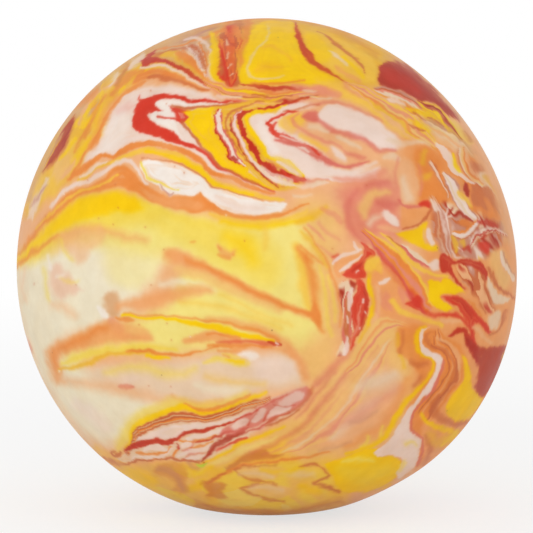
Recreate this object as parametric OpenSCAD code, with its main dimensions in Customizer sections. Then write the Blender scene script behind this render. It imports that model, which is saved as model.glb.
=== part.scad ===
// Stretchy gummy ball: a marbled rubber skin round a soft gel core. The gel goes in through a
// moulded port, which a barbed plug and a bead of glue close for good.
// The origin is the middle of the flat foot that the ball rests on, +Z is up, and the port is
// at the back, along +Y.

/* [Ball] */
// Diameter of the ball across its middle
ball_d = 70; // [50:1:110]
// How far the soft ball sinks onto its foot under its own weight
sag = 0.9; // [0.6:0.1:2]
// Radius of the flat foot that the ball rests on
foot_r = 5; // [3:0.5:5]
// How many times flatter than the crown the ball is just round its foot
settle = 1.45; // [1.3:0.05:2]

/* [Skin] */
// Thickness of the moulded rubber skin
skin_wall = 2.5; // [1.5:0.1:4]

/* [Fill port] */
// Radius of the hole that the gel is pumped in through
bore_r = 2; // [1.5:0.1:2.6]
// Wall of the boss that is moulded round the hole, inside the skin
boss_wall = 4; // [2.5:0.1:5]
// Length of the hole, from the skin's outside to the boss's inner end
boss_length = 8; // [6:0.5:14]
// Width and height of the bevel where the boss runs into the skin
boss_bevel = 1.5; // [0.5:0.1:2.5]
// Depth of the seat that the plug's head is sunk into
seat_depth = 1.4; // [0.8:0.1:2]

/* [Plug] */
// How far the plug's head stands out round its stem
head_lip = 1.6; // [1:0.1:2.5]
// How far the plug's barb stands out round its stem
barb_lip = 1.1; // [0.5:0.1:1.8]
// Length of the barb, from the boss's inner end to its tip
barb_length = 4; // [2.5:0.1:6]
// Radius of the barb's blunt tip
barb_tip_r = 1.1; // [0.6:0.1:1.4]

/* [Glue] */
// Width of the bead of glue round the plug's head
bead_width = 1; // [0.6:0.1:1.8]

/* [Fits] */
// Gap left between two pieces that are squeezed or bonded together
joint_gap = 0.05; // [0.02:0.01:0.1]

/* [Hidden] */
$fn = 96;
// Finer, for the arc that trims the thin bead of glue
trim_fn = 480;

// The crown is most of a sphere, and its centre sits lower than a round ball's by the sag
ball_r = ball_d / 2;
crown_z = ball_r - sag;

// The flatter, wider sphere that the sagging ball follows from its foot's edge out to the crown
settle_r = settle * ball_r;
settle_z = sqrt(settle_r * settle_r - foot_r * foot_r);

// Sizes along the port, measured outwards from the crown's centre
seat_floor = ball_r - seat_depth;
boss_end = ball_r - boss_length;
boss_root = ball_r - skin_wall / 2;
bevel_start = ball_r - skin_wall - boss_bevel;
barb_end = boss_end - joint_gap;
barb_tip = barb_end - barb_length;

// Radii round the port
boss_r = bore_r + boss_wall;
stem_r = bore_r - joint_gap;
head_r = stem_r + head_lip;
barb_r = stem_r + barb_lip;
seat_r = head_r + bead_width + 2 * joint_gap;

// Half of the ball's outline, drawn in evenly from its outside: the crown, the flatter zone
// that the ball settles on, and the foot
module ball_outline(inset) {
    intersection() {
        translate([0, crown_z]) circle(ball_r - inset);
        translate([0, settle_z]) circle(settle_r - inset);
        translate([0, inset]) square(ball_d);
    }
}

// The whole ball, drawn in evenly from its outside
module ball_body(inset) {
    rotate_extrude() ball_outline(inset);
}

// Turns an outline round the port's axis: its X is the radius, and its Y the distance outwards
// from the crown's centre
module round_port() {
    translate([0, 0, crown_z])
        rotate([-90, 0, 0])
            rotate_extrude() children();
}

// A block round the port's axis, between two radii and two distances
module band(r_in, r_out, from, to) {
    translate([r_in, from]) square([r_out - r_in, to - from]);
}

// Keeps what lies under the crown's outside, so that it ends flush with the ball
module flush() {
    intersection() {
        children();
        circle(ball_r, $fn = trim_fn);
    }
}

// The boss inside the skin, with its bevelled root, grown evenly by a gap
module boss_outline(grow) {
    polygon([
        [0, boss_end - grow],
        [boss_r + grow, boss_end - grow],
        [boss_r + grow, bevel_start],
        [boss_r + boss_bevel + grow, bevel_start + boss_bevel],
        [boss_r + boss_bevel + grow, boss_root],
        [0, boss_root]
    ]);
}

// The plug's barb: a blunt cone that is wider than the hole it was pushed through, grown by a gap
module barb_outline(grow) {
    polygon([
        [0, barb_tip - grow],
        [barb_tip_r + grow, barb_tip - grow],
        [barb_r + grow, barb_end],
        [0, barb_end]
    ]);
}

// The hole through boss and skin, and the seat for the plug's head at its outer end
module port_outline() {
    clear = ball_r + seat_depth;
    band(0, bore_r, boss_end - boss_length, clear);
    band(0, seat_r, seat_floor, clear);
}

// The moulded skin: an even wall with the fill port's boss inside it
module marbled_skin() {
    color("#F2B84B")
        difference() {
            ball_body(0);
            difference() {
                ball_body(skin_wall);
                round_port() boss_outline(0);
            }
            round_port() port_outline();
        }
}

// The gel: it fills the skin, and closes round the boss and the plug's barb
module gel_core() {
    color("#F4D9A8")
        difference() {
            ball_body(skin_wall + joint_gap);
            round_port() boss_outline(joint_gap);
            round_port() barb_outline(joint_gap);
        }
}

// The plug: a flush head in the seat, a stem in the hole, and the barb that holds it there
module port_plug() {
    color("#EFA35A")
        round_port() {
            flush() band(0, head_r, seat_floor + joint_gap, ball_r);
            band(0, stem_r, barb_end, seat_floor + joint_gap);
            barb_outline(0);
        }
}

// The bead of glue that fills the seat round the plug's head, flush with the ball
module glue_bead() {
    color("#F1E3C8")
        round_port()
            flush() band(head_r + joint_gap, seat_r - joint_gap, seat_floor + joint_gap, ball_r);
}

marbled_skin();
gel_core();
port_plug();
glue_bead();
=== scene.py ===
"""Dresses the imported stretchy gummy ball: marbled skin, gel filling, port plug, glue and studio."""

import logging
import math
from dataclasses import dataclass
from enum import Enum
from functools import partial
from itertools import product
from typing import Callable

import bpy
import numpy as np
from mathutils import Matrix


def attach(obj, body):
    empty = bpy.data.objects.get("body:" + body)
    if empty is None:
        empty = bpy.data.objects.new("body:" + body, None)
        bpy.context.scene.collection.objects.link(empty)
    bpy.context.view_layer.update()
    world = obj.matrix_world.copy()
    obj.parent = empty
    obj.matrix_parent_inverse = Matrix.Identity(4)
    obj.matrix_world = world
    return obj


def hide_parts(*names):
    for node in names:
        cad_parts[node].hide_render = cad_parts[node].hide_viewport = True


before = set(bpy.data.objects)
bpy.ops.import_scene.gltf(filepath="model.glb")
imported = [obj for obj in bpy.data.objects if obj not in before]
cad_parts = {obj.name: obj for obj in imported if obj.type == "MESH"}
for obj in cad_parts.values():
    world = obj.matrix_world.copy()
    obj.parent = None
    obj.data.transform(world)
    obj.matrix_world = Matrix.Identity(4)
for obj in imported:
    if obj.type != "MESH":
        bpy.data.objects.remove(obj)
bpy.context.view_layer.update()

MM = 0.001
LOG = logging.getLogger("gummy_ball")

# Each part has noises of its own, numbered from here.
DRAG_SEED = 20
TONGUE_SEED = 27
VEIN_SEED = 29
FOLD_SEED = 40
TANGLE_SEED = 60

# How many points go round the port.
SIDES = 96


class Dye(Enum):
    """The colours that were folded into the rubber, as sRGB hex."""

    LEMON = "#FBCB00"
    SUN = "#F4D552"
    BUTTER = "#F4E080"
    IVORY = "#F1E4C6"
    CHALK = "#F6EADF"
    SHELL = "#F1D6C6"
    BLUSH = "#ECCDAC"
    GOLD = "#EFB62E"
    SAFFRON = "#F6C346"
    HONEY = "#F2BE72"
    PEACH = "#F1B27E"
    APRICOT = "#F0A060"
    ORANGE = "#EC8A3E"
    RUST = "#CC6A3C"
    CORAL = "#E88C70"
    ROSE = "#DC7060"
    RED = "#D93A26"
    CRIMSON = "#C43421"
    OXBLOOD = "#AD2E1D"
    MAUVE = "#CB8B76"
    TAN = "#DCA878"
    LIME = "#C8DC4A"


# Short names for the dyes, since every stroke of the marbling names one.
(LEMON, SUN, BUTTER, IVORY, CHALK, SHELL, BLUSH, GOLD, SAFFRON, HONEY, PEACH, APRICOT, ORANGE, RUST, CORAL,
 ROSE, RED, CRIMSON, OXBLOOD, MAUVE, TAN, LIME) = Dye


def channels(hex_colour: str) -> np.ndarray:
    """Splits an sRGB hex colour into its three channels.

    Args:
        hex_colour: The colour, as #RRGGBB.

    Returns:
        Red, green and blue from 0 to 1, still in sRGB.
    """
    return np.array([int(hex_colour[i:i + 2], 16) / 255 for i in (1, 3, 5)])


def linear(srgb: np.ndarray) -> np.ndarray:
    """Turns sRGB channels into the linear light that the renderer works in.

    Args:
        srgb: Channels from 0 to 1.

    Returns:
        The same channels in linear light.
    """
    return np.where(srgb <= 0.04045, srgb / 12.92, ((srgb + 0.055) / 1.055) ** 2.4)


def ease(x: np.ndarray, low: float, high: float) -> np.ndarray:
    """Steps smoothly from 0 at low to 1 at high.

    Args:
        x: The values to step over.
        low: Where the step starts.
        high: Where the step ends; it may be below low.

    Returns:
        The step's height at each value.
    """
    t = np.clip((x - low) / (high - low), 0, 1)
    return t * t * (3 - 2 * t)


class Grain:
    """Smooth seeded noise in space, for all that is uneven on the ball."""

    # Brings the noise out to about -1 to 1.
    GAIN = 1.6

    def __init__(self, seed: int) -> None:
        """Shuffles the lattice.

        Args:
            seed: Which of the many noises this is.
        """
        rng = np.random.default_rng(seed)
        self.order = rng.permutation(256)
        slopes = rng.normal(size=(256, 3))
        self.slopes = slopes / np.linalg.norm(slopes, axis=1, keepdims=True)

    def at(self, points: np.ndarray, size: float) -> np.ndarray:
        """Reads the noise.

        Args:
            points: Where to read it, one row each.
            size: The width of one cell of the noise, in the points' unit.

        Returns:
            A value from about -1 to 1 for each point.
        """
        cell = points / size
        base = np.floor(cell).astype(int)
        local = cell - base
        blend = local ** 3 * (local * (local * 6 - 15) + 10)
        total = np.zeros(len(points))
        for corner in product((0, 1), repeat=3):
            key = np.zeros(len(points), dtype=int)
            weight = np.ones(len(points))
            for axis in range(3):
                key = self.order[(key + base[:, axis] + corner[axis]) & 255]
                weight = weight * (blend[:, axis] if corner[axis] else 1 - blend[:, axis])
            total += weight * ((local - np.array(corner)) * self.slopes[key]).sum(1)
        return total * self.GAIN


@dataclass(frozen=True)
class Spots:
    """The places on the ball that are dyed: where the photograph shows them, and how uneven dye lies there."""

    seen: np.ndarray
    uneven: np.ndarray
    jag: np.ndarray
    cloud: np.ndarray


@dataclass(frozen=True)
class Unevenness:
    """How unevenly dye lies in the rubber: heights and sizes of its noises, in the photograph's pixels."""

    pixels_per_mm: float = 7.15
    swell: tuple[float, float] = (0.8, 14)
    jags: tuple[tuple[float, float], ...] = ((0.6, 2.6), (0.9, 5))
    drags: tuple[float, ...] = (4.5, 9, 18)
    drag_share: float = 9
    clouds: tuple[tuple[float, float], ...] = ((0.02, 26), (0.014, 11), (0.008, 4))

    def at(self, seen: np.ndarray, places: np.ndarray) -> Spots:
        """Finds how unevenly dye lies at places, and drags each a little from where it is seen.

        Args:
            seen: Where the photograph shows the places, in pixels.
            places: The places, in metres.

        Returns:
            The places to dye.
        """
        fine, broad, *pulls = (Grain(DRAG_SEED + i) for i in range(4))
        pixels = places / MM * self.pixels_per_mm
        uneven = self.swell[0] * broad.at(pixels, self.swell[1])
        jag = sum(height * fine.at(pixels, size) for height, size in self.jags)
        drag = sum(size / self.drag_share * np.stack([pull.at(pixels, size) for pull in pulls], 1)
                   for size in self.drags)
        clouds = zip((*pulls, broad), self.clouds)
        cloud = sum(height * grain.at(pixels, size) for grain, (height, size) in clouds)
        return Spots(seen + drag, uneven, jag, cloud)


def stops(route: str) -> np.ndarray:
    """Reads a route's stops.

    Args:
        route: Stops apart by spaces: x, y and, where the route has a width, half of it, apart by commas.

    Returns:
        One row of three for each stop.
    """
    return np.array([[*map(float, stop.split(",")), 0][:3] for stop in route.split()])


def flowing(knots: np.ndarray, closed: bool, step: float) -> np.ndarray:
    """Runs a smooth curve through stops.

    Args:
        knots: The stops, one row each; columns past the second are carried along.
        closed: Whether the curve comes back to its first stop.
        step: About how far apart the curve's points are, in pixels.

    Returns:
        The curve's points, with the carried columns.
    """
    if len(knots) == 1:
        return np.vstack([knots, knots])
    if closed:
        ring = np.vstack([knots[-1], knots, knots[0], knots[1]])
    else:
        ring = np.vstack([2 * knots[0] - knots[1], knots, 2 * knots[-1] - knots[-2]])
    run = []
    for a, b, c, d in zip(ring, ring[1:], ring[2:], ring[3:]):
        count = max(2, int(np.hypot(*(c - b)[:2]) / step))
        t = (np.arange(count) / count)[:, None]
        bend, twist = a - 2.5 * b + 2 * c - d / 2, 1.5 * (b - c) + (d - a) / 2
        run.append(b + t * (c - a) / 2 + t ** 2 * bend + t ** 3 * twist)
    run.append(knots[:1] if closed else knots[-1:])
    curve = np.vstack(run)
    curve[:, 2:] = np.maximum(curve[:, 2:], 0)
    return curve


def nearest(points: np.ndarray, curve: np.ndarray) -> tuple[np.ndarray, np.ndarray]:
    """Measures how far points are from a curve's banks, and how far across the curve they lie.

    Args:
        points: The points, two columns.
        curve: The curve's points, with half-widths in a third column.

    Returns:
        For each point its distance, below 0 within the width; and its side, from -1 on the left bank to 1
        on the right.
    """
    best, side = np.full(len(points), np.inf), np.zeros(len(points))
    for a, b in zip(curve, curve[1:]):
        along = b[:2] - a[:2]
        length = max(float(along @ along), 1e-9)
        t = np.clip((points - a[:2]) @ along / length, 0, 1)
        away = points - a[:2] - t[:, None] * along
        half = a[2] + t * (b[2] - a[2])
        gap = np.hypot(away[:, 0], away[:, 1]) - half
        across = (away[:, 1] * along[0] - away[:, 0] * along[1]) / (math.sqrt(length) * np.maximum(half, 0.5))
        closer = gap < best
        best, side = np.where(closer, gap, best), np.where(closer, across, side)
    return best, side


@dataclass(frozen=True)
class Streak:
    """A drawn-out thread of one dye, on a route of stops that each give x, y and half its width in pixels."""

    dye: Dye
    route: str
    soft: float = 1.2
    rag: float = 0.5
    strength: float = 1.0
    veins: float = 0.2

    def curves(self) -> list[np.ndarray]:
        """Gives the streak's curves: one for each part of its route."""
        return [flowing(stops(part), False, 5) for part in self.route.split(" / ")]

    def depth(self, points: np.ndarray, curve: np.ndarray) -> tuple[np.ndarray, np.ndarray]:
        """Gives how far outside the streak each point is, and on which side of its middle."""
        return nearest(points, curve)

    def tint(self, side: np.ndarray, seen: np.ndarray) -> np.ndarray:
        """Gives the colour of the dye, which is the same all over the streak."""
        return channels(self.dye.value)


@dataclass(frozen=True)
class Pool(Streak):
    """A patch of one dye, inside an outline of stops that each give x and y in pixels."""

    soft: float = 1.5
    rag: float = 0.6
    veins: float = 0.35

    def curves(self) -> list[np.ndarray]:
        """Gives the pool's outlines: one for each part of its route."""
        return [flowing(stops(part), True, 8) for part in self.route.split(" / ")]

    def depth(self, points: np.ndarray, curve: np.ndarray) -> tuple[np.ndarray, np.ndarray]:
        """Gives how far outside the pool each point is.

        Args:
            points: The points, two columns.
            curve: The pool's closed outline.

        Returns:
            The distance, below 0 inside the outline; and the side of the outline, which a pool has no use for.
        """
        inside = np.zeros(len(points), dtype=bool)
        x, y = points[:, 0], points[:, 1]
        for (ax, ay, _), (bx, by, _) in zip(curve, curve[1:]):
            if ay != by:
                inside ^= ((ay > y) != (by > y)) & (x < ax + (y - ay) * (bx - ax) / (by - ay))
        gap, side = nearest(points, curve)
        return np.where(inside, -1, 1) * gap, side


def graded(dyes: tuple[Dye, ...], share: np.ndarray) -> np.ndarray:
    """Blends from dye to dye.

    Args:
        dyes: The dyes in order.
        share: How far through them each place is, from 0 to 1.

    Returns:
        The sRGB colour of each place.
    """
    table = np.array([channels(dye.value) for dye in dyes])
    spot = np.clip(share * len(table) - 0.5, 0, len(table) - 1.001)
    lower = spot.astype(int)
    blend = ease(spot - lower, 0.1, 0.9)[:, None]
    return table[lower] * (1 - blend) + table[lower + 1] * blend


@dataclass(frozen=True)
class Ribbon(Streak):
    """Dyes drawn out side by side, named from the left bank of a route like a streak's to its right bank."""

    dye: tuple[Dye, ...]
    rag: float = 0.8
    veins: float = 0.0

    def tint(self, side: np.ndarray, seen: np.ndarray) -> np.ndarray:
        """Gives the colour, dye by dye from the left bank to the right."""
        return graded(self.dye, (side + 1) / 2)


@dataclass(frozen=True)
class Tangle(Pool):
    """Dyes folded into a tangle of threads inside an outline, all drawn out one way, with sizes in folds."""

    dye: tuple[Dye, ...]
    soft: float = 3.0
    rag: float = 1.2
    veins: float = 0.0
    fold: float = 10.0
    lean: float = 60.0
    pull: float = 2.8
    knead: tuple[float, float] = (0.8, 1.4)
    broad: tuple[float, float] = (0.6, 2)
    fine: tuple[float, float] = (0.06, 0.5)

    def tint(self, side: np.ndarray, seen: np.ndarray) -> np.ndarray:
        """Gives the colour of each thread.

        Args:
            side: The side of the outline, which a tangle has no use for.
            seen: Where the places are, in pixels.

        Returns:
            The sRGB colour of each place.
        """
        turn = math.radians(self.lean)
        way, across = np.array([math.cos(turn), math.sin(turn)]), np.array([-math.sin(turn), math.cos(turn)])
        pulled = np.column_stack([seen @ way / self.pull, seen @ across, np.full(len(seen), self.lean)])
        *kneads, last = (Grain(TANGLE_SEED + i) for i in range(4))
        push, size = self.knead
        kneaded = np.stack([grain.at(pulled, size * self.fold) for grain in kneads], 1)
        folded = pulled + push * self.fold * kneaded
        threads = self.broad[0] * last.at(folded, self.broad[1] * self.fold)
        threads += self.fine[0] * kneads[0].at(folded, self.fine[1] * self.fold)
        return graded(self.dye, threads % 1)


GROUNDS = (
    Pool(GOLD, "60,120 95,78 150,45 215,25 300,18 370,40 395,60 378,84 340,88 300,86 245,86 205,82 172,72"
        " 142,76 116,96 101,126 91,146 76,172 52,192 24,215 34,165", 8),
    Pool(SHELL, "94,140 106,114 122,95 143,86 172,85 198,90 222,99 240,104 262,106 300,100 320,108 340,106"
        " 372,116 400,140 402,148 380,150 350,142 325,150 335,170 310,180 285,186 262,182 236,160 214,120"
        " 190,118 200,140 224,166 250,182 275,191 250,186 212,170 182,151 152,143 128,147 113,157 98,158"
        " 82,168", 3),
    Pool(CORAL, "338,190 362,180 388,178 398,190 400,214 408,230 398,240 380,236 366,244 354,236 346,222"
        " 342,206", 10),
    Pool(HONEY, "300,200 330,204 340,226 336,250 330,300 336,350 326,376 306,384 296,360 276,345 280,320"
        " 300,290 290,240", 12),
    Pool(IVORY, "12,268 50,250 100,240 150,246 168,268 150,300 110,324 60,342 84,366 140,380 176,398 140,422"
        " 118,444 84,436 46,390 20,330", 11),
    Pool(BUTTER, "60,236 100,214 150,208 205,216 250,222 296,218 310,250 314,292 320,324 300,344 262,338"
        " 225,346 180,352 110,350 74,362 62,352 110,328 150,312 172,296 168,262 120,250", 12),
    Pool(SUN, "150,214 200,220 240,224 270,240 282,270 268,288 240,276 210,262 186,244"
        " 160,232", 11, strength=0.7),
    Pool(SUN, "16,262 40,236 64,212 95,196 130,196 165,206 160,220 110,228 70,238 40,258", 10),
    Pool(BLUSH, "90,372 130,362 180,360 215,354 252,356 286,352 300,366 302,384 262,392 225,402 180,402"
        " 140,396 104,386", 9),
    Pool(SAFFRON, "96,448 130,466 170,462 215,462 245,446 300,420 335,400 352,412 335,450 345,500 266,516"
        " 200,508 150,490", 7),
    Pool(APRICOT, "400,135 440,125 475,150 505,220 518,262 512,330 492,400 455,452 430,462 408,400 396,340"
        " 398,300 418,270 428,230 412,200", 9),
    Pool(HONEY, "336,366 352,340 372,320 398,326 412,350 408,392 392,432 362,450 330,458 300,462 290,440"
        " 310,415", 9),
    Pool(PEACH, "346,372 372,362 398,376 402,404 384,432 352,444 322,448 318,428 336,402", 10),
    Pool(APRICOT, "362,262 384,256 410,276 408,302 424,320 398,322 376,312 368,288", 7),
)

GOLD_SHOULDER = (
    # The tan band along the upper-left outline is painted shade: the ball's edge darkened where it turns away
    # from the light.
    Streak(TAN, "30,196,6 40,168,7 62,122,6 98,80,6 148,48,6 200,28,6", 6, 1, 0.8),
    Streak(BLUSH, "32,206,3 44,184,4 54,172,3", 4, 1, 0.7),
    Tangle((GOLD, SAFFRON, HONEY, PEACH, GOLD, ORANGE, TAN, LEMON), "32,194 44,164 60,130 80,100 104,82 128,70"
        " 146,66 140,78 122,90 108,106 92,142 76,164 60,186 44,200", 4, 1, 0.85, fold=17, lean=117),
    Streak(LEMON, "97,132,4 100,120,5 103,108,4 / 74,160,2 82,150,3 90,138,2", 4, 1, 0.6),
    Streak(ORANGE, "84,138,1.4 97,106,2 106,95,1.6 / 74,150,1 82,136,1.6 88,124,1", 1.8, 1.2, 0.7),
    Streak(PEACH, "79,124,1.6 83,112,2.4 92,100,2.4 104,88,2.4 116,80,2 / 62,176,1.6 68,168,2"
        " 74,160,1.4", 2, 1.2, 0.9),
    Streak(LEMON, "84,116,1.6 92,103,2 102,92,2 / 60,158,1.4 68,148,2 75,138,1.4", 1.5, 0.8, 0.85),
    Streak(APRICOT, "92,146,3 98,128,4 106,110,4 116,98,4", 3, 1, 0.6),
    Streak(RUST, "116,84,2 121,75,2.6 127,66,2", 2, 1, 0.6),
    Streak(SHELL, "109,85,1 113,79,2 118,73,1.4 / 128,68,1.6 134,62,3.4 143,56,3 / 29,218,1.6 33,206,2.8"
        " 39,194,2.6 45,185,2.2 46,178,1.4", 1.6, 0.7, 0.85),
    Streak(MAUVE, "31,206,0.8 38,195,1.3 46,186,0.8", 1.4, 0.6, 0.75),
    Streak(ORANGE, "112,94,1.6 122,82,2.6 132,73,2.4 142,69,1.6", 2, 1.2, 0.75),
    Ribbon((TAN, MAUVE, GOLD, RUST, OXBLOOD, RUST), "42,170,2 50,160,4 57,148,6 68,126,5"
        " 73,116,2", 2, 0.8, 0.8),
    Streak(OXBLOOD, "72,119,1.2 68,127,3 64,136,3 59,146,1.8 46,166,0.8", 1.4, 0.8, 0.8),
    Streak(ORANGE, "146,81,1.2 134,86,1.6 124,93,1.8 115,104,1.8 100,129,2 94,141,2 73,172,1.4"
        " 68,178,1.2", 1.4, 0.8, 0.85),
    Pool(CHALK, "112,118 122,108 130,112 128,128 124,140 112,150 98,154 92,158 98,146", 4, 1, 0.55),
    Streak(ROSE, "118,112,3 128,106,4 134,104,2", 4, 1, 0.22),
)

RED_HOOK = (
    Pool(CHALK, "150,104 158,99 168,99 196,103 208,103 196,106 184,107 172,104 176,112 182,122 190,132 197,142"
        " 190,142 180,138 170,130 158,124 150,119 152,112", 1.8, 0.5, 0.9),
    Pool(RED, "131,120 134,113 136,105 138,101 139,95 141,98 146,97 153,94 162,93 184,96 192,99 202,98 226,100"
        " 240,99 240,101 226,102 202,102 192,103 174,99 166,98 158,100 154,104 157,108 163,110 150,112 148,116"
        " 151,121 158,125 173,133 178,138 184,141 194,144 196,147 190,149 182,147 166,141 156,136 138,131"
        " 133,126", 1.2, 0.8, veins=0),
    Streak(RED, "158,117,0.9 174,118,1.2 180,120,1.2", 0.9, 0.5, 0.8),
    Pool(RED, "169,105 184,109 190,111 186,114 189,118 184,121 178,121 175,115", 1, 0.6, 0.92),
    Streak(RUST, "172,105,0.8 182,108,1.5 196,108,1.6 226,104,1.2 256,99,1", 0.9, 0.4),
    Pool(SHELL, "176,122 184,124 192,134 200,145 208,152 218,163 230,170 222,169 212,161 203,153 198,146"
        " 188,142 180,136", 1.4, 0.5, 0.9),
    Pool(RED, "195,147 200,146 206,151 219,162 237,172 248,179 260,185 274,189 274,192 260,188 247,183 236,177"
        " 216,167 201,154", 1.1, 0.7, 0.92),
    Streak(SHELL, "150,140,1.4 162,141,1.6 176,145,1.6 200,156,2.2 209,164,2.4 218,170,2 228,173,1.6"
        " 254,187,1.4 272,193,1.2", 1, 0.5, 0.9),
)

TOP_BANDS = (
    Pool(TAN, "148,54 170,42 190,35 212,28 214,40 206,60 206,78 198,78 186,68 170,60 152,60", 4, 1),
    Streak(GOLD, "150,56,2 160,54,3 172,54,3.4 190,65,3.6 197,71,3.4 204,77,2.4", 2, 0.8),
    Tangle((TAN, RUST, GOLD, MAUVE, TAN, ORANGE), "146,56 170,42 214,26 242,20 246,28 218,35 198,42 180,50"
        " 162,56", 3, 1, 0.75, fold=9, lean=-24),
    Tangle((ORANGE, TAN, RUST, GOLD, APRICOT, MAUVE, BLUSH, ORANGE), "174,54 186,46 198,42 207,48 208,62"
        " 208,80 200,76 190,66", 2.4, 1, 0.85, fold=6.5, lean=60),
    Streak(RUST, "180,50,1 189,46,2 198,48,2.4 203,56,2.2 205,68,1.6", 2, 1.2, 0.5),
    Streak(ORANGE, "181,50,0.8 188,57,1.5 195,65,1.5 203,74,1", 1.1, 1, 0.75),
    Streak(SHELL, "185,46,0.6 192,52,1 197,60,1 201,68,0.9 207,77,0.7", 0.9, 1.3, 0.85),
    Streak(RUST, "190,44,0.8 197,50,1.2 202,59,1.3 205,69,1.1 210,78,0.8", 0.9, 1.5, 0.9),
    Streak(SHELL, "141,66,1.6 152,65,1.8 164,66,2 174,70,2 183,73,2 190,78,2 207,88,1.4", 1.2, 0.6, 0.9),
    Streak(CRIMSON, "144,60,1.4 149,55,1.8 155,50,0.8 / 143,62,2.8 150,60,3 160,60,2 169,63,2.2 187,71,2.6"
        " 192,75,2.2 205,84,1", 1, 0.7, 0.95),
    Pool(ORANGE, "136,74 148,69 160,69 182,76 198,86 208,89 200,91 182,82 156,79 142,81 132,84", 1.8, 0.7),
    Streak(RUST, "150,78,1.6 158,77,2.4 178,81,1.6 188,83,1.6 196,88,1.4 206,90,1.2", 1.4, 0.7, 0.7),
    Streak(SHELL, "184,39,1.2 194,37,1.8 203,41,2 208,48,1.8 211,57,1.6 209,66,2 209,74,2.2 213,81,2"
        " 220,86,1.6 230,90,1.2", 1.1, 0.6, 0.9),
    Streak(LEMON, "212,34,2.4 214,46,3.4 213,66,3.6 214,75,3 220,82,1.6", 1.5, 0.7, 0.9),
    Tangle((ORANGE, RED, RUST, ORANGE, RED, ORANGE, RUST), "220,32 230,25 240,27 241,44 237,58 236,70 241,82"
        " 232,87 222,82 217,72 219,56 219,42", 1.6, 1.4, 0.95, fold=7.5, lean=82),
    Streak(RED, "230,27,4 229,42,6 228,56,6.5 228,70,7 232,83,4", 3, 1.2, 0.42),
    Streak(BLUSH, "225,40,0.8 227,44,1.1 / 229,52,0.7 227,57,0.9 / 230,64,0.6 227,68,0.8 / 232,73,0.6"
        " 229,76,0.7", 0.9, 0.6, 0.8),
    Streak(ORANGE, "248,22,4 241,54,2.6 240,66,1.4", 2.6, 0.8, 0.8),
    Pool(APRICOT, "206,80 214,82 226,87 240,88 284,91 300,90 320,84 344,84 348,92 330,98 306,98 284,98 262,101"
        " 240,99 222,98 212,92", 2.5, 0.7),
    Ribbon((APRICOT, ORANGE, SAFFRON, CORAL, APRICOT, RUST, SAFFRON, CORAL), "206,82,3 222,90,5.4 244,95,6.4"
        " 268,97,7 292,96,7 314,93,5", 2, 0.8, 0.8),
    Streak(LEMON, "224,88,0.6 250,93,1.6 264,96,1", 1, 0.5, 0.85),
    Streak(CRIMSON, "240,84,1 260,86,2.8 270,89,2.6 282,88,2.2 294,89,1.6 306,88,0.8", 1, 0.7, 0.85),
    Streak(SHELL, "216,95,1.4 228,97,1.4 240,97,1", 1, 0.4, 0.7),
)

TOP_YELLOW = (
    Pool(LEMON, "247,42 251,30 264,21 290,20 294,30 297,42 301,52 306,60 313,67 322,71 333,76 334,82 316,83"
        " 296,83 272,84 250,84 241,81 240,72 243,64", 1.6, 0.6),
    Streak(SAFFRON, "268,24,4 282,24,5 290,30,3", 4, 1, 0.8),
    Streak(APRICOT, "262,48,1 272,45,2 283,52,1.4 291,60,1", 2.4, 1, 0.4),
    Streak(APRICOT, "256,70,2 268,66,4 280,66,2", 4, 1, 0.3),
    Streak(BLUSH, "268,26,0.6 267,36,1 260,46,1.2 251,57,1.4 247,66,1.6 250,75,1.6 262,78,1.4"
        " 283,75,0.8", 1.4, 0.5, 0.75),
    Streak(ORANGE, "303,80,0.8 292,82,1.4 278,83,1.6 250,83,1", 1.2, 0.5, 0.8),
    Pool(SAFFRON, "302,34 312,28 330,34 352,44 372,58 378,76 366,82 348,80 334,72 318,66 309,56", 3, 0.8, 0.8),
    Pool(LEMON, "304,34 312,32 324,42 332,50 330,58 320,62 311,56", 3, 0.7, 0.7),
    # The rust band along the top outline is painted shade: the ball's edge darkened where it turns away from
    # the light.
    Streak(RUST, "196,28,2 226,20,3 262,16,3 300,18,3 330,26,3 356,40,3 376,54,2", 4, 1, 0.35),
    Streak(CRIMSON, "294,22,0.6 300,43,3 305,52,4.4 316,65,3 324,69,2 341,79,1.1 348,85,0.8", 1.2, 0.7, 0.86),
    Streak(RUST, "318,31,0.6 329,38,1.1 356,60,1.1 362,66,1 364,72,0.6", 1, 0.5, 0.8),
    Streak(BLUSH, "329,50,0.8 335,54,1.7 347,65,1.3", 1, 0.5, 0.85),
    Streak(LEMON, "342,56,1 350,64,2 357,71,2 363,77,1", 1.6, 0.5, 0.8),
    Streak(APRICOT, "336,66,1.6 346,74,2.2 358,81,2", 2, 0.8, 0.7),
    Streak(CORAL, "344,82,2 358,86,3 372,92,2", 2.5, 0.8, 0.6),
)

YELLOW_WEDGE = (
    Streak(GOLD, "212,108,1.6 240,104,2 256,101,1.8 272,99,1.4 284,96,1", 1, 0.5),
    Pool(LEMON, "181,111 196,110 210,107 216,110 212,116 215,124 214,130 219,137 225,143 229,150 229,157"
        " 234,161 240,164 247,167 248,173 255,179 264,184 276,189 264,188 250,182 240,175 229,169 219,163"
        " 204,146 190,129 184,121 189,117", 1, 0.5),
    Streak(RUST, "181,120,0.9 187,128,1.4 210,155,1.4 219,164,1.3 230,170,1.2 254,184,1"
        " 268,189,0.8", 0.9, 0.5, 0.9),
    Streak(SAFFRON, "206,134,2 214,144,3 222,153,3 230,162,2", 2.5, 0.6, 0.5),
)

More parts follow.
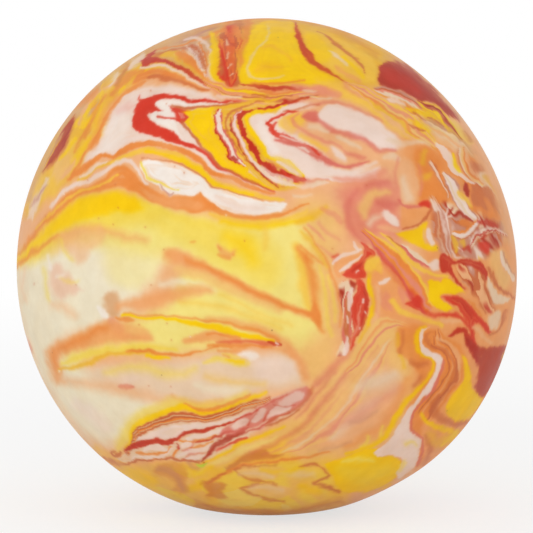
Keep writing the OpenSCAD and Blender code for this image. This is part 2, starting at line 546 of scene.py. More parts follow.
SERRATED_BANDS = (
    Pool(GOLD, "214,110 228,106 262,104 280,104 276,112 262,114 250,116 252,130 262,148 270,158 290,162"
        " 300,174 306,182 292,190 276,190 258,180 246,168 234,160 228,148 218,134", 1.5, 0.6, 0.95),
    Pool(SHELL, "252,120 262,114 274,111 272,120 266,125 272,133 284,141 308,156 322,164 342,170 366,169"
        " 380,164 376,176 350,182 330,180 312,178 304,174 299,167 290,161 278,157 268,155 261,146"
        " 254,134", 1.4, 0.6),
    Pool(CHALK, "256,124 264,121 266,130 272,140 280,150 276,154 268,148 261,139", 2.5, 0.6, 0.5),
    Ribbon((ROSE, SHELL, SHELL, ROSE, CRIMSON), "220,110,1.8 217,116,4.6 218,122,4.2 219,128,4.8 221,134,4.4"
        " 226,140,4.8 230,146,4.6 232,154,4.4 237,160,3 244,165,1.4", 0.8, 1.7),
    Streak(OXBLOOD, "233,157,1.4 236,160,1.2", 0.9, 0.5, 0.8),
    Streak(ROSE, "240,110,1.2 234,116,2.2 232,123,2.6 235,131,2.8 254,165,1.6 272,181,1"
        " 284,187,0.8", 0.9, 1, 0.75),
    Streak(SHELL, "240,111,0.8 235,116,1.4 233,123,1.6 236,131,1.8 249,156,1.6 256,165,2 274,178,3 286,184,2.2"
        " 296,186,1", 0.9, 0.7),
    Streak(OXBLOOD, "230,116,0.5 230,123,0.8 232,131,0.8 237,139,0.8 240,147,0.8 251,164,1 267,179,1"
        " 278,186,0.8", 0.8, 0.6, 0.75),
    Streak(CRIMSON, "286,102,0.8 274,105,1.2 262,109,1.3 250,112,1.7 241,114,2.2 238,119,2.2 240,126,2.2"
        " 248,141,2.9 253,148,3.4 258,159,1.8", 0.9, 1.8),
    Tangle((CRIMSON, RED, OXBLOOD, ROSE, CRIMSON), "255,157 262,159 286,172 295,176 308,180 296,182 285,180"
        " 266,170 258,163", 1, 1.8, fold=8, lean=32),
    Streak(RUST, "264,101,0.5 246,105,0.8 232,110,0.9 226,117,1 226,126,0.9 230,136,0.9 243,156,0.8"
        " 252,166,0.7", 0.9, 0.8, 0.75),
    Streak(ROSE, "292,178,1.6 302,181,2.2 316,181,1.6 328,179,0.8", 1.8, 0.8, 0.7),
    Streak(SHELL, "298,186,1 312,185,1.8 328,182,0.8", 1.4, 0.8, 0.75),
    Streak(LEMON, "286,104,0.8 274,108,1.4 251,114,2.2 246,119,2.2 248,126,2.2 253,133,2.6 262,148,2.8"
        " 265,155,2.6 273,158,2.2 283,160,2 292,164,1.8 303,177,1", 1, 0.7, 0.95),
    Streak(SHELL, "262,166,1.4 272,173,2 292,182,1.8", 1.2, 0.6, 0.8),
    Streak(SHELL, "276,161,1.4 284,165,2.4 292,170,2.2 297,175,1.2", 1.2, 0.6, 0.9),
)

FAN = (
    Pool(PEACH, "284,116 300,108 318,104 340,88 362,96 388,112 404,136 396,134 380,122 356,110 338,106 322,110"
        " 318,122 346,132 372,144 390,152 400,160 380,166 350,168 330,160 316,146 300,136 286,130", 3, 0.7),
    Streak(SAFFRON, "316,80,2 334,85,6 350,94,7 366,102,6 380,112,6 392,122,5 408,133,4", 4, 0.8, 0.9),
    Streak(CORAL, "292,86,2 308,89,4 324,91,4.4 338,94,3 / 344,84,1.6 352,92,2 366,96,3"
        " 376,102,2", 2.6, 0.8, 0.75),
    Streak(BLUSH, "304,90,1 309,91,1.8 315,91,1 / 300,96,0.8 316,97,1.2 332,98,0.8", 1.4, 0.5, 0.7),
    Streak(RUST, "252,95,0.8 264,96,1.1 292,95,0.7", 0.8, 0.4, 0.8),
    Streak(CRIMSON, "258,110,1 270,107,1.5 294,100,1.5 308,98,0.8", 0.9, 0.6, 0.9),
    Streak(RUST, "282,111,0.7 294,109,1 306,105,0.8 318,103,0.7", 1, 0.5, 0.7),
    Streak(ROSE, "310,104,1 322,102,1.8 338,103,2 354,108,1.8 382,121,1.2", 2, 0.6, 0.5),
    Pool(SAFFRON, "280,118 290,112 302,112 306,120 298,128 288,132 280,126", 3, 0.7, 0.85),
    Streak(HONEY, "284,119,2.4 286,126,3 292,132,2", 2.4, 0.6, 0.85),
    Streak(CORAL, "298,113,1 291,118,1.4 294,125,2 304,131,2 332,143,1.4 344,150,1", 1.6, 0.7, 0.75),
    Streak(RED, "268,122,1.6 273,117,1.5 288,111,1.3 298,110,0.8", 0.9, 0.8, 0.9),
    Streak(RED, "266,123,1.8 271,125,2.2 273,130,2.4 278,134,2.6 286,137,2.6 296,142,2.8", 1.1, 1.2, 0.9),
    Streak(ROSE, "276,140,1.4 296,144,3.6 306,149,4.6 315,153,4.6 322,158,3.6 330,162,2.4 344,166,1.8"
        " 358,164,1.6 368,161,0.8", 1.8, 1),
    Streak(RED, "277,121,1.1 274,126,1.6 275,131,1.2 / 304,143,0.8 312,148,1.6 318,154,1.4", 1.1, 0.8, 0.8),
    Streak(SHELL, "281,135,0.8 288,138,1.1 298,141,0.9 / 298,148,0.8 303,149,2 307,152,1.2", 1, 0.4, 0.85),
    Streak(SAFFRON, "300,136,2 314,141,2.4 326,150,2.4", 2.4, 0.6, 0.7),
    Pool(ROSE, "302,115 308,110 316,109 320,115 318,122 310,122 304,119", 2, 0.7, 0.9),
    Streak(ROSE, "314,119,2.6 324,123,2.8 331,129,3.4 342,133,2.6 354,135,3 364,139,3 380,149,2.4"
        " 394,150,1.4", 2.4, 0.8, 0.75),
    Streak(BLUSH, "310,126,2.4 318,127,2.8 326,130,2 / 336,137,2 348,141,2.6 360,147,2", 2, 0.6, 0.75),
    Pool(SHELL, "320,113 323,108 331,105 344,106 356,111 368,116 376,124 386,141 392,147 380,147 374,142"
        " 366,136 354,131 342,128 332,123 323,119", 2.2, 0.6),
    Pool(SHELL, "330,146 338,149 344,153 346,160 339,159 333,153", 2, 0.6, 0.9),
    Streak(ROSE, "345,152,1.6 353,155,3 363,157,2", 2.6, 0.6, 0.6),
    Streak(CORAL, "336,176,3 352,180,4 370,177,4 384,171,3", 4, 0.8, 0.7),
    Streak(SHELL, "306,167,3 334,171,3.6 348,172,3.4 362,168,2.6 374,163,1.6", 2.4, 0.7, 0.9),
    Streak(BLUSH, "270,155,1 283,160,3 292,166,3.6 299,174,3", 2.6, 0.8, 0.65),
    Streak(ROSE, "266,158,0.8 274,165,1.8 284,171,1.4 / 298,178,1.6 308,181,1", 2, 0.8, 0.45),
    Streak(BLUSH, "308,183,1.6 316,183,2.6 324,181,1.4 / 294,195,1 302,195,1.8 311,193,1 / 384,156,2 392,156,3"
        " 398,159,2", 1.8, 0.5, 0.8),
)

UPPER_RIGHT = (
    Pool(HONEY, "380,96 400,100 424,102 444,114 462,134 470,150 446,146 420,140 398,130 384,116", 4, 0.8, 0.9),
    Pool(OXBLOOD, "378,74 380,66 388,61 400,62 412,70 424,80 452,110 459,121 450,115 432,103 424,100 421,103"
        " 414,98 405,93 387,88 379,84", 1.6, 0.9, 0.95, 0.05),
    Streak(CRIMSON, "384,72,5 394,77,7 406,84,7 416,91,4", 5, 0.8, 0.7, 0),
    # The tan band along the upper-right outline is painted shade at the ball's edge.
    Streak(TAN, "384,57,3 402,61,3 418,73,3 434,88,3 448,103,2 460,117,2", 4, 0.8, 0.5),
    Tangle((HONEY, GOLD, PEACH, BLUSH, MAUVE, SAFFRON, RUST), "402,103 424,106 444,118 462,138 472,156 450,150"
        " 428,142 408,128", 4, 1, 0.7, fold=13, lean=42),
    Ribbon((GOLD, PEACH, SAFFRON, CORAL, HONEY, ORANGE, GOLD, PEACH), "346,82,2 364,91,6 384,104,10 402,118,11"
        " 418,130,9 434,144,4", 2.6, 1, 0.7),
    Ribbon((MAUVE, RUST, CORAL, BLUSH, ORANGE), "377,88,2.4 386,91,4.4 406,100,4.6 424,110,2"),
    Streak(SHELL, "388,97,1 396,100,2.4 404,104,1.4", 1.2, 0.6, 0.9),
    Ribbon((GOLD, OXBLOOD, RUST, LEMON, GOLD), "418,101,1.6 427,106,4.4 436,111,5 452,128,4 460,137,2.4"),
    Streak(LEMON, "406,108,1.4 416,110,2.6 426,113,2.4 434,118,1.6 / 408,120,0.8 418,124,1.6"
        " 430,131,1", 1.6, 0.8, 0.85),
    Streak(RUST, "414,111,0.7 419,116,1.3 431,126,0.7 / 408,124,0.7 417,127,1.1 426,130,0.7 / 428,117,0.8"
        " 435,120,1.2 442,125,0.8", 1, 0.7, 0.85),
    Ribbon((MAUVE, SHELL, BLUSH, PEACH, BLUSH), "424,121,2 432,126,4.6 452,138,5 462,145,5"
        " 470,154,3", 3, 1.4, 0.7),
    Streak(MAUVE, "430,120,1 437,124,1.8 444,129,1.2 / 446,121,0.8 453,131,1.4 460,140,1", 1.6, 0.8, 0.6),
    Streak(SUN, "446,116,1 464,134,2.4 471,143,1.4", 2.4, 0.7, 0.65),
    Streak(RUST, "464,130,1 468,136,1.4 471,142,0.8", 1.6, 0.6, 0.55),
    Streak(BLUSH, "388,140,2 402,143,3 420,141,2.6 428,144,1.4", 2, 0.6, 0.7),
)

LEFT_FAN = (
    Streak(GOLD, "78,180,1.6 90,171,2.2 102,165,2 114,161,1.8", 1.4, 0.6, 0.9),
    Streak(SHELL, "80,176,0.8 90,170,2 100,164,1.7 107,161,0.8", 1.2, 0.6, 0.9),
    Streak(SAFFRON, "112,162,2 136,152,2.6 148,150,3 171,153,3.4 190,164,3.8 199,169,3.8 206,175,3.8"
        " 213,182,3.4 224,185,3.2 252,194,3 284,200,1.2", 1.3, 0.6),
    Streak(LEMON, "146,152,1.2 160,153,2 182,160,2.4 192,167,2.4 201,171,2.4 209,179,2.2 220,185,2"
        " 252,195,1.4", 1.2, 0.5, 0.8),
    Streak(ORANGE, "70,178,1.4 79,171,2.6 97,158,2.6 105,155,2.4 113,157,2.6 121,152,2.8 130,147,2.8"
        " 140,144,2.8 151,143,2.8 163,144,2.6 185,152,2.6 194,157,2.6 202,163,2.6 211,171,2.6 222,175,2.4"
        " 234,178,2.2 246,185,2 258,190,1.8 274,193,1.4", 1.2, 0.6),
    Streak(RUST, "142,158,0.5 158,159,0.7 172,160,0.8 184,166,0.8 204,178,0.8 212,186,0.8 226,189,0.7"
        " 244,195,0.7 262,199,0.5", 0.8, 0.4, 0.7),
    Streak(SHELL, "50,206,1.4 60,194,2 70,186,2.2 82,182,2.2 94,177,2.2 104,171,2 112,165,2 121,161,2"
        " 130,161,2.2 136,166,2 140,175,2 146,184,1.6", 1.1, 0.5, 0.95),
    Pool(ORANGE, "16,258 26,240 40,222 51,210 60,198 70,191 84,187 105,176 112,168 120,164 128,166 134,173"
        " 139,181 147,187 156,191 165,197 176,196 190,197 200,193 208,202 216,208 202,212 186,210 168,206"
        " 150,200 136,193 122,188 108,189 80,196 66,206 50,221 36,236", 1.8, 0.6, 0.92),
    Streak(SAFFRON, "36,228,0.8 48,216,1.2 60,203,1.4 72,195,1.5 86,189,1.5 98,185,1.4"
        " 117,174,1.2", 1, 0.5, 0.85),
    Streak(APRICOT, "150,195,3 166,201,5 184,203,5 200,205,4", 3, 0.7, 0.8),
    Pool(LEMON, "14,264 24,250 36,238 64,209 80,199 95,195 110,192 124,193 138,200 148,206 136,211 116,210"
        " 96,215 76,221 56,230 40,242 26,258", 5, 0.8, 0.95),
    Streak(ORANGE, "16,266,1.8 26,257,2.4 50,239,1.8 58,234,1", 2.2, 0.7, 0.75),
)

WHITE_RIVER = (
    Pool(CHALK, "140,163 150,159 160,160 172,162 192,172 202,178 208,184 214,188 226,190 254,199 270,201"
        " 284,202 287,204 280,210 268,213 254,215 246,214 238,211 218,208 204,196 200,192 194,196 186,196"
        " 178,193 172,194 168,196 163,191 148,181 143,173", 1.2, 0.5),
    Streak(SHELL, "216,198,3 230,203,4 246,207,4 262,208,3", 4, 0.6, 0.8),
    Streak(SUN, "141,161,0.8 147,176,1.5 153,181,1.4 168,187,0.8 178,189,0.6", 1, 0.4, 0.9),
    Streak(MAUVE, "158,185,0.6 163,190,1 168,195,1.1 173,192,0.7", 0.8, 0.4, 0.7),
    Streak(ORANGE, "200,193,0.8 205,200,1.8 212,207,2.4 220,211,2.4 250,217,2.2 264,217,2.2 276,215,2"
        " 297,206,1.4 308,204,0.8", 1.3, 0.6, 0.92),
    Streak(SAFFRON, "210,213,1.6 224,217,2.4 256,222,3 274,221,3 292,216,2.6 306,211,1.6", 2.4, 0.6, 0.85),
    Streak(LEMON, "222,221,2 244,225,3 268,226,3 310,218,2", 3.4, 0.6, 0.75),
)

SOFT_CENTRE = (
    Streak(APRICOT, "54,238,3 70,233,6 86,229,5 106,231,4 130,237,3 146,240,2", 6, 0.8, 0.6),
    Pool(PEACH, "62,232 80,228 104,232 101,244 90,250 86,260 76,264 70,254 62,246", 5, 2.4, 0.55, 0),
    Pool(CORAL, "47,274 55,262 63,268 74,282 82,290 70,293 60,300 52,294", 4.4, 2.6, 0.32, 0),
    Streak(SUN, "61,240,1 65,252,1.6 72,260,1 / 42,268,1.2 45,284,2 49,300,1.2 / 60,276,0.8 68,281,1.4"
        " 78,280,0.8", 3, 1.4, 0.5),
    Streak(CHALK, "47,256,1.2 49,268,1.6 / 56,276,0.8 62,274,1.2", 2.4, 0.8, 0.7),
    Streak(PEACH, "24,268,1.6 22,284,2 24,300,1.4 / 52,304,3 64,308,4 74,316,3", 5, 0.8, 0.45),
    Pool(BUTTER, "104,252 136,246 158,252 160,274 140,288 112,282", 9, strength=0.45),
    Streak(LEMON, "60,222,5 84,208,7 108,204,7 132,206,5", 6, 0.8, 0.6),
    Streak(SUN, "142,204,2 164,213,4 190,222,5 214,226,4", 4, 0.8, 0.8),
    Streak(LEMON, "228,236,6 244,246,9 252,258,7", 9, 0.8, 0.6),
    Streak(SAFFRON, "264,226,3 266,238,3.6 264,248,2", 4, 0.8, 0.5),
    Streak(APRICOT, "218,245,2 223,250,3.4 230,255,3.6 234,251,2", 3, 0.6, 0.7),
    Streak(ORANGE, "218,246,1 221,248,1.4 / 219,254,1.2 224,256,2.2 230,258,1.6 / 234,254,1.2 / 191,242,1"
        " 193,242,1.2", 1.8, 0.8, 0.5),
    Streak(PEACH, "136,300,4 158,288,9 170,272,11 180,262,9", 8, 0.8, 0.8),
    Streak(IVORY, "160,282,2 178,282,4 196,285,4 214,290,2", 4, 0.8, 0.7),
    Streak(HONEY, "178,268,3 200,275,5 226,286,5 280,310,3", 4, 0.7, 0.8),
    Streak(APRICOT, "168,254,5 182,259,6 220,275,4 264,297,3 288,307,2.8 312,317,1.6", 4, 0.2, 0.9),
    Streak(ORANGE, "184,259,1.4 204,266,2.2 222,275,2.8 266,297,2.4 312,316,2", 3.2, 0.15, 0.85),
    Streak(SAFFRON, "180,300,2 210,304,3 244,314,3 280,328,3 / 190,284,1 222,294,2 258,312,2"
        " 290,324,1.4", 4, 1, 0.45),
    Streak(SAFFRON, "294,246,3 301,258,5 304,274,5.4 305,292,5 308,308,3", 4.4, 0.6, 0.8),
    Streak(ORANGE, "297,248,1.6 305,256,3.4 312,262,1.6 / 306,257,2 310,270,3.6 313,284,4 314,298,3.8"
        " 316,312,3.6 319,324,2.4 322,331,1.2", 3.6, 0.4, 0.8),
    Pool(ORANGE, "296,309 308,312 314,302 319,314 321,326 315,323 308,317", 2, 0.6, 0.9),
    Streak(SUN, "319,266,1 322,282,1.8 327,318,2.4 331,334,2 / 328,276,1.6 332,296,2"
        " 335,320,1.6", 2.6, 0.8, 0.6),
    Streak(ORANGE, "304,228,0.8 314,244,1.4 326,262,1.6 335,284,1.4 339,304,1.2 340,326,1 / 300,246,1"
        " 312,256,1.8 322,264,1", 1.8, 0.9, 0.6),
    Streak(CORAL, "318,222,1.4 328,232,2 338,240,1.4 / 316,244,1 326,252,1.8 334,258,1.4", 2.4, 1, 0.5),
    Streak(GOLD, "296,222,2 306,218,4 318,212,4 326,206,2 / 300,232,1 308,240,1.6 318,254,1.6"
        " 326,268,1", 3, 0.7, 0.7),
    Streak(CORAL, "308,226,1 316,232,1.6 323,240,1 / 322,208,2 332,214,3 340,222,2", 2, 0.8, 0.6),
)

LEFT_BANDS = (
    Pool(TAN, "103,297 108,291 116,292 120,301 119,313 113,318 106,312", 3.4, 0.8, 0.95, 0),
    Pool(CORAL, "109,317 117,319 124,329 120,335 112,331 107,324", 2.4, 0.8, 0.55, 0),
    Streak(CHALK, "99,308,2 103,311,4 105,317,3", 1.6, 0.7, 0.8),
    Streak(APRICOT, "120,306,4 138,303,6 156,299,6.6 190,291,5 208,289,2.6", 4.6, 0.8, 0.75),
    Streak(ORANGE, "116,317,1 124,319,2.4 133,320,1.4", 1.6, 0.6, 0.85),
    Streak(APRICOT, "206,317,1 228,320,2 250,325,3 270,333,3.4 284,343,3.4 294,354,3", 4.4, 0.3, 0.7),
    Streak(ORANGE, "124,314,0.6 146,314,0.8 196,318,1.2 220,322,1.4 244,327,1.8 262,333,2"
        " 278,340,1.6", 1.8, 0.2, 0.8),
    Streak(LEMON, "122,315,1 154,317,1.2 186,321,2 217,327,3 245,335,2.6 273,341,1.2", 1.4, 0.12),
    Streak(APRICOT, "186,341,2.6 198,337,5 212,335,5.6 228,337,4 240,342,3", 2.6, 0.8, 0.85),
    Streak(ORANGE, "206,345,1.4 222,344,2.4 238,345,2.6 270,347,1.4 / 206,333,0.8 222,333,1.4"
        " 240,337,1.2", 1.6, 0.7, 0.85),
    Streak(RED, "216,341,0.8 230,340,1.6 256,342,2.2 268,344,2 277,344,1.3", 1.8, 0.4, 0.55),
    Streak(CRIMSON, "268,342,1.2 275,343,2 280,344,1.2", 0.9, 0.4, 0.8),
    # A painted glint: a pale dot at the end of the dark line, standing for a highlight.
    Streak(SHELL, "275,342,1 277,343,0.8", 0.7, 0.2, 0.9),
    Pool(APRICOT, "46,352 54,343 70,338 84,332 95,325 104,321 112,326 124,332 140,336 152,338 128,342 110,343"
        " 78,350 62,355 58,366 62,380 55,384 49,372", 5, 0.9, 0.85),
    Pool(APRICOT, "112,320 122,322 140,326 153,335 146,341 126,341 112,336", 4, 0.8, 0.65),
    Streak(ORANGE, "58,348,2 74,342,3.6 88,334,4 98,327,4 106,326,3 / 53,352,2 54,361,3"
        " 58,369,2.6", 6, 0.8, 0.8),
    Streak(SUN, "62,364,2 80,356,3.4 100,352,4 126,348,3.6 152,347,3 176,348,2", 3, 0.7, 0.85),
    Streak(GOLD, "58,370,1.2 74,366,2 90,361,2 104,356,2 136,351,1.6 152,353,1.6", 1.8, 0.6, 0.85),
    Streak(ORANGE, "126,351,0.8 140,350,1.4 150,351,1.6 160,354,1.8 184,354,1.6 206,348,1.2"
        " 216,346,1", 1.2, 0.6, 0.9),
    Streak(LEMON, "146,355,1.2 158,357,2 168,358,1", 1.4, 0.6, 0.85),
    Streak(SUN, "106,372,2 122,368,3 142,366,4 158,371,4 176,374,3 194,370,2", 6, 0.8, 0.6),
    Streak(SUN, "204,362,1.4 216,359,2.6 228,359,3.4 238,361,3 248,362,1.4 / 221,353,1 230,354,2"
        " 239,356,1.2", 2.6, 1.2, 0.75),
    Streak(LEMON, "226,358,1 234,359,2 243,361,1.4", 1.8, 1.2, 0.75),
    Streak(ORANGE, "216,350,1 230,350,1.8 246,349,1.2 / 222,354,0.8 229,356,1", 1.8, 0.9, 0.6),
    Pool(CHALK, "238,353 243,350 249,351 257,355 257,359 250,361 246,358 241,356", 1.6, 1, 0.85),
    Streak(APRICOT, "268,347,1.4 282,349,2.8 294,355,4.4 301,365,5 305,377,4", 4, 0.6, 0.75),
    Pool(SHELL, "254,360 276,354 292,362 297,374 276,383 256,378", 6, strength=0.7),
    Streak(SAFFRON, "206,376,1.6 222,380,2.4 244,383,2.4 264,384,2", 6, 0.7, 0.5),
    Streak(IVORY, "196,384,3 216,390,4 240,388,3", 4, 0.7, 0.6),
    Streak(ROSE, "119,385,1 125,386,2.8 132,386,1.2", 1.6, 0.1, 0.9),
    Streak(PEACH, "66,380,4 114,388,6 140,394,6 166,400,4", 6, 0.8, 0.6),
    Streak(APRICOT, "172,396,2 186,402,3 204,405,2.6 222,400,2", 3, 0.8, 0.5),
    Streak(SHELL, "124,380,3 134,377,3 / 76,404,5 92,414,7 104,428,6", 6, 0.7, 0.55),
)

LOWER_BRAID = (
    Streak(SUN, "118,450,3 124,438,6 130,426,7 144,415,7 162,407,7 180,402,5 196,406,4 220,404,4"
        " 244,395,4", 5, 0.8, 0.7),
    Streak(LEMON, "128,449,2 133,430,3 142,421,3 154,416,3 168,410,3 180,407,3.4 192,410,3 206,412,2.6"
        " 218,411,2.6 242,401,2 254,397,1.6 266,392,1", 2.2, 0.7, 0.9),
    Streak(ORANGE, "184,404,1 198,409,1.6 212,409,1.8 236,400,1.6 248,396,1.2", 1.4, 0.6, 0.8),
    Pool(BLUSH, "126,452 134,440 146,430 166,421 190,417 212,417 234,411 256,402 280,394 304,386 312,396"
        " 300,408 284,419 250,434 234,446 216,457 196,462 170,460 148,458 132,462 116,460", 1.5, 0.6),
    Ribbon((RUST, RUST, TAN, RUST, ORANGE, TAN, RUST), "128,453,1.6 132,444,2.4 136,435,3.6 146,427,4.4"
        " 172,417,4.6 186,417,4.4 200,418,3.6 214,417,3.2 242,407,3.6 268,398,2"),
    Pool(SHELL, "134,441 142,436 162,428 172,424 184,423 212,421 222,420 246,412 258,406 250,412 238,418"
        " 214,425 190,430 174,438 152,439 142,440", 0.9, 0.5),
    Streak(CRIMSON, "126,450,1.4 134,446,3 152,441,2.8 162,442,2.8 170,441,2 178,437,1.4 186,433,1.8"
        " 206,429,2.6 216,426,1.4 226,424,1.2 250,413,0.8", 1, 0.7, 0.92),
    Streak(ORANGE, "136,452,1 158,453,1.2 167,451,1.2 170,446,1.2 / 176,450,1.4 173,456,1.2 / 180,439,0.8"
        " 190,441,1.4 204,440,1.2 216,436,1 / 190,447,1 202,445,1 212,442,0.8", 0.9, 0.5, 0.9),
    Streak(SHELL, "143,449,1 150,447,2.6 158,447,3 166,449,1.4 / 132,458,0.8 140,455,1.2 150,456,1.3"
        " 160,456,1.3 167,453,1 171,447,0.7", 0.8, 0.4),
    Streak(SHELL, "181,446,1.8 186,444,3.4 190,443,2 / 178,456,1 187,451,2 198,449,2 209,446,1.2 / 186,458,1"
        " 195,456,2.6 202,455,1.4", 0.9, 0.4),
    Streak(SHELL, "188,438,1.4 198,437,2.4 217,432,2.2 225,430,1.2", 0.9, 0.5),
    Streak(CRIMSON, "177,443,0.8 178,448,1.2 / 196,442,0.6 208,440,0.9 220,436,1.1 230,431,1 256,427,1"
        " 276,417,1.8 288,412,1.2", 0.9, 0.6, 0.8),
    Streak(OXBLOOD, "203,460,1.2 208,453,2.6 216,445,3.2 236,434,2.4 259,427,1", 1.2, 0.9, 0.85),
    Streak(RED, "216,450,0.8 226,444,1.4 236,441,2.4 245,437,1.4", 1.1, 0.8, 0.8),
    Streak(BLUSH, "212,453,0.4 220,445,0.8 230,440,0.7 250,432,0.4", 1, 0.8, 0.6),
    Streak(RUST, "104,456,1.2 112,461,1.4 122,465,1.4 132,462,1.3 144,459,1.3 158,459,1.2 170,458,1.2"
        " 180,460,1.4 200,461,1.4 / 112,452,2 115,456,2.4 120,452,1.4", 1, 0.7, 0.85),
    Streak(ROSE, "181,450,0.6 189,448,0.9 194,441,0.6 / 183,459,0.6 190,453,0.9 204,452,0.7", 1.2, 0.6, 0.55),
    Pool(ROSE, "220,434 236,419 258,406 282,394 306,386 313,393 302,405 284,415 264,427"
        " 240,433", 1.8, 0.8, 0.8, 0),
    Streak(RUST, "313,387,2 310,394,3.6 304,402,3 294,409,2.4 268,422,1.6", 1.8, 0.8, 0.5),
    Pool(SHELL, "229,427 235,421 244,417 249,419 245,425 236,430 / 250,420 253,412 261,407 266,410 263,416"
        " 256,421 / 268,417 270,409 279,403 290,403 289,409 280,415 / 277,403 283,397 294,391 304,391 302,397"
        " 292,403 283,405", 1.6, 0.8, 0.9, 0),
    Streak(CRIMSON, "248,425,0.5 251,417,0.8 256,409,0.5 / 264,420,0.5 268,412,0.8 274,405,0.5 / 272,404,0.5"
        " 282,405,0.8 294,404,0.5 / 234,419,0.4 250,412,0.7 268,402,0.7 286,394,0.5", 1.2, 0.8, 0.5),
    Streak(BLUSH, "246,431,0.6 257,426,1.2 268,420,0.6", 1.1, 0.6, 0.7),
    Streak(MAUVE, "242,423,2 262,412,5 282,402,7 302,393,6", 4, 0.8, 0.34),
    Streak(RUST, "266,426,0.8 276,423,1.2 288,417,1.3 298,409,1.2", 1.1, 0.6, 0.75),
)

UNDERSIDE = (
    Tangle((SUN, HONEY, SUN, TAN, SAFFRON, TAN, BUTTER), "228,466 262,464 300,462 326,470 330,492 300,508"
        " 262,512 222,506 214,486", 5, 1, 0.6, fold=21, lean=15),
    Tangle((SUN, LEMON, BUTTER, SUN, TAN, HONEY), "104,452 128,466 152,466 190,470 206,486 200,506 160,494"
        " 128,474", 5, 1, 0.6, fold=23, lean=30),
    Streak(HONEY, "188,484,3 204,471,5 224,458,6 276,434,6 300,418,6 317,400,6 330,380,5"
        " 342,364,3", 3, 0.9, 0.8),
    Streak(BUTTER, "196,474,1.6 212,464,3 232,454,3 254,445,2.4 276,436,1", 3, 1, 0.55),
    Streak(ROSE, "354,344,1.4 345,355,3 327,374,3.6 316,384,2.6 / 296,418,1 310,403,2 334,372,1", 3, 0.5, 0.5),
    Ribbon((HONEY, PEACH, BLUSH, PEACH, CORAL, HONEY, PEACH), "284,452,4 312,440,9 338,416,13 358,388,14"
        " 376,362,10 388,344,4", 4, 0.9, 0.6),
    Streak(LEMON, "204,462,0.6 214,458,1.4 228,450,1.8 252,438,2 284,426,0.6", 2.2, 0.8, 0.75),
    Streak(ROSE, "250,452,1 274,443,2 300,428,2.6 318,408,3 352,364,2 366,346,0.8", 3, 0.5, 0.5),
    Streak(CORAL, "262,455,0.8 284,446,1.4 306,433,1.6 322,416,1.4 338,397,1.2 356,373,1"
        " 378,346,0.8", 1.8, 0.8, 0.5),
    Pool(RUST, "226,467 240,457 252,451 266,449 270,453 283,456 268,459 256,460 242,464"
        " 230,471", 2.2, 0.9, 0.65, 0.1),
    Streak(ORANGE, "208,483,1 220,475,1.6 246,464,1.6 284,460,1.4 330,452,0.8", 1.2, 0.7, 0.85),
    Pool(HONEY, "236,470 248,466 268,465 286,468 276,477 258,480 244,476 / 241,488 254,484 276,484 292,490"
        " 280,498 256,494", 2, 0.8, 0.8),
    Streak(RUST, "276,464,0.6 244,466,1.2 235,470,1.4 242,476,1.5 254,480,1.4 272,482,0.8 / 276,484,0.6"
        " 256,484,1 240,488,1.6 250,493,1.6 264,498,1.4 284,502,0.8 / 200,484,1 212,479,1.4"
        " 224,473,1", 1.4, 0.9, 0.6),
    Streak(BLUSH, "238,474,1.6 254,473,2.4 272,476,2 / 250,487,1.6 266,487,2.4 282,490,2 / 282,472,2 298,474,3"
        " 312,474,2", 3, 0.7, 0.6),
    Streak(LEMON, "120,476,6 136,478,8 152,482,5 / 196,474,3 212,468,3 / 190,488,4 198,486,4 / 262,469,1.4"
        " 284,471,2 300,468,1.4 / 300,486,3 318,490,4", 4, 1, 0.55),
    Pool(RUST, "152,470 160,464 172,462 181,465 188,473 184,480 188,491 180,495 171,489 176,484 168,478"
        " 156,476", 2.4, 1, 0.35, 0),
    Streak(MAUVE, "158,468,2 170,470,4 178,478,3 182,488,2 / 187,463,2 192,467,2.4 198,467,1.4", 2.6, 1, 0.45),
    Pool(RUST, "203,486 211,481 226,484 222,490 227,497 214,499 205,496 208,491", 2, 1, 0.55, 0),
    # The rust band along the bottom outline is painted shade at the ball's lower edge.
    Streak(RUST, "196,504,2 230,510,3 262,512,3 300,510,2 340,500,2", 4, 1, 0.6),
    Pool(LEMON, "324,464 334,459 344,457 356,452 366,449 378,447 374,452 380,456 390,456 399,459 402,464"
        " 396,476 388,484 372,490 352,492 342,490 335,484 329,470", 1.8, 0.8, 0.95, 0),
    Streak(SUN, "342,470,6 364,474,9 386,469,6", 6, 0.8, 0.5),
    Streak(BUTTER, "342,461,1.6 356,459,2.6 372,460,1.6", 2.6, 0.6, 0.7),
    Streak(RUST, "298,467,0.6 306,465,1.4 314,464,1.6 320,468,1.2 327,473,1.4 326,477,1.2 314,482,1.8"
        " 322,485,1.8 330,488,2 339,491,0.8", 1.6, 0.8, 0.8),
    Streak(LIME, "198,464,0.9 203,465,1.7 207,463,1", 0.9, 0.4),
    Streak(OXBLOOD, "205,462,0.7", 0.7, 0.2, 0.8),
    Streak(BLUSH, "394,374,4 374,382,6 352,386,4 / 378,399,3 362,411,4 346,424,4 332,436,3", 5, 0.8, 0.75),
    Streak(CORAL, "400,386,3 384,396,4 368,408,4 352,419,4 332,426,3", 5, 0.8, 0.5),
    Pool(BLUSH, "356,384 366,375 384,369 405,376 396,390 376,396 360,398", 6, 1, 0.4),
    Streak(ORANGE, "406,380,4 400,397,5 391,413,6 379,429,5 364,437,4 346,446,3", 5, 0.9, 0.45),
    Streak(HONEY, "366,362,2 354,378,4 344,394,5 332,412,4 314,430,3", 3.4, 0.8, 0.7),
    Streak(MAUVE, "376,410,1.6 363,418,2.6 351,423,1.6 / 350,440,1 336,447,2 320,450,1", 3.4, 0.7, 0.4),
    Streak(SUN, "369,437,1.2 366,443,1.8 360,446,1.2 / 382,426,1.2 380,434,1.6", 2.2, 0.6, 0.75),
)

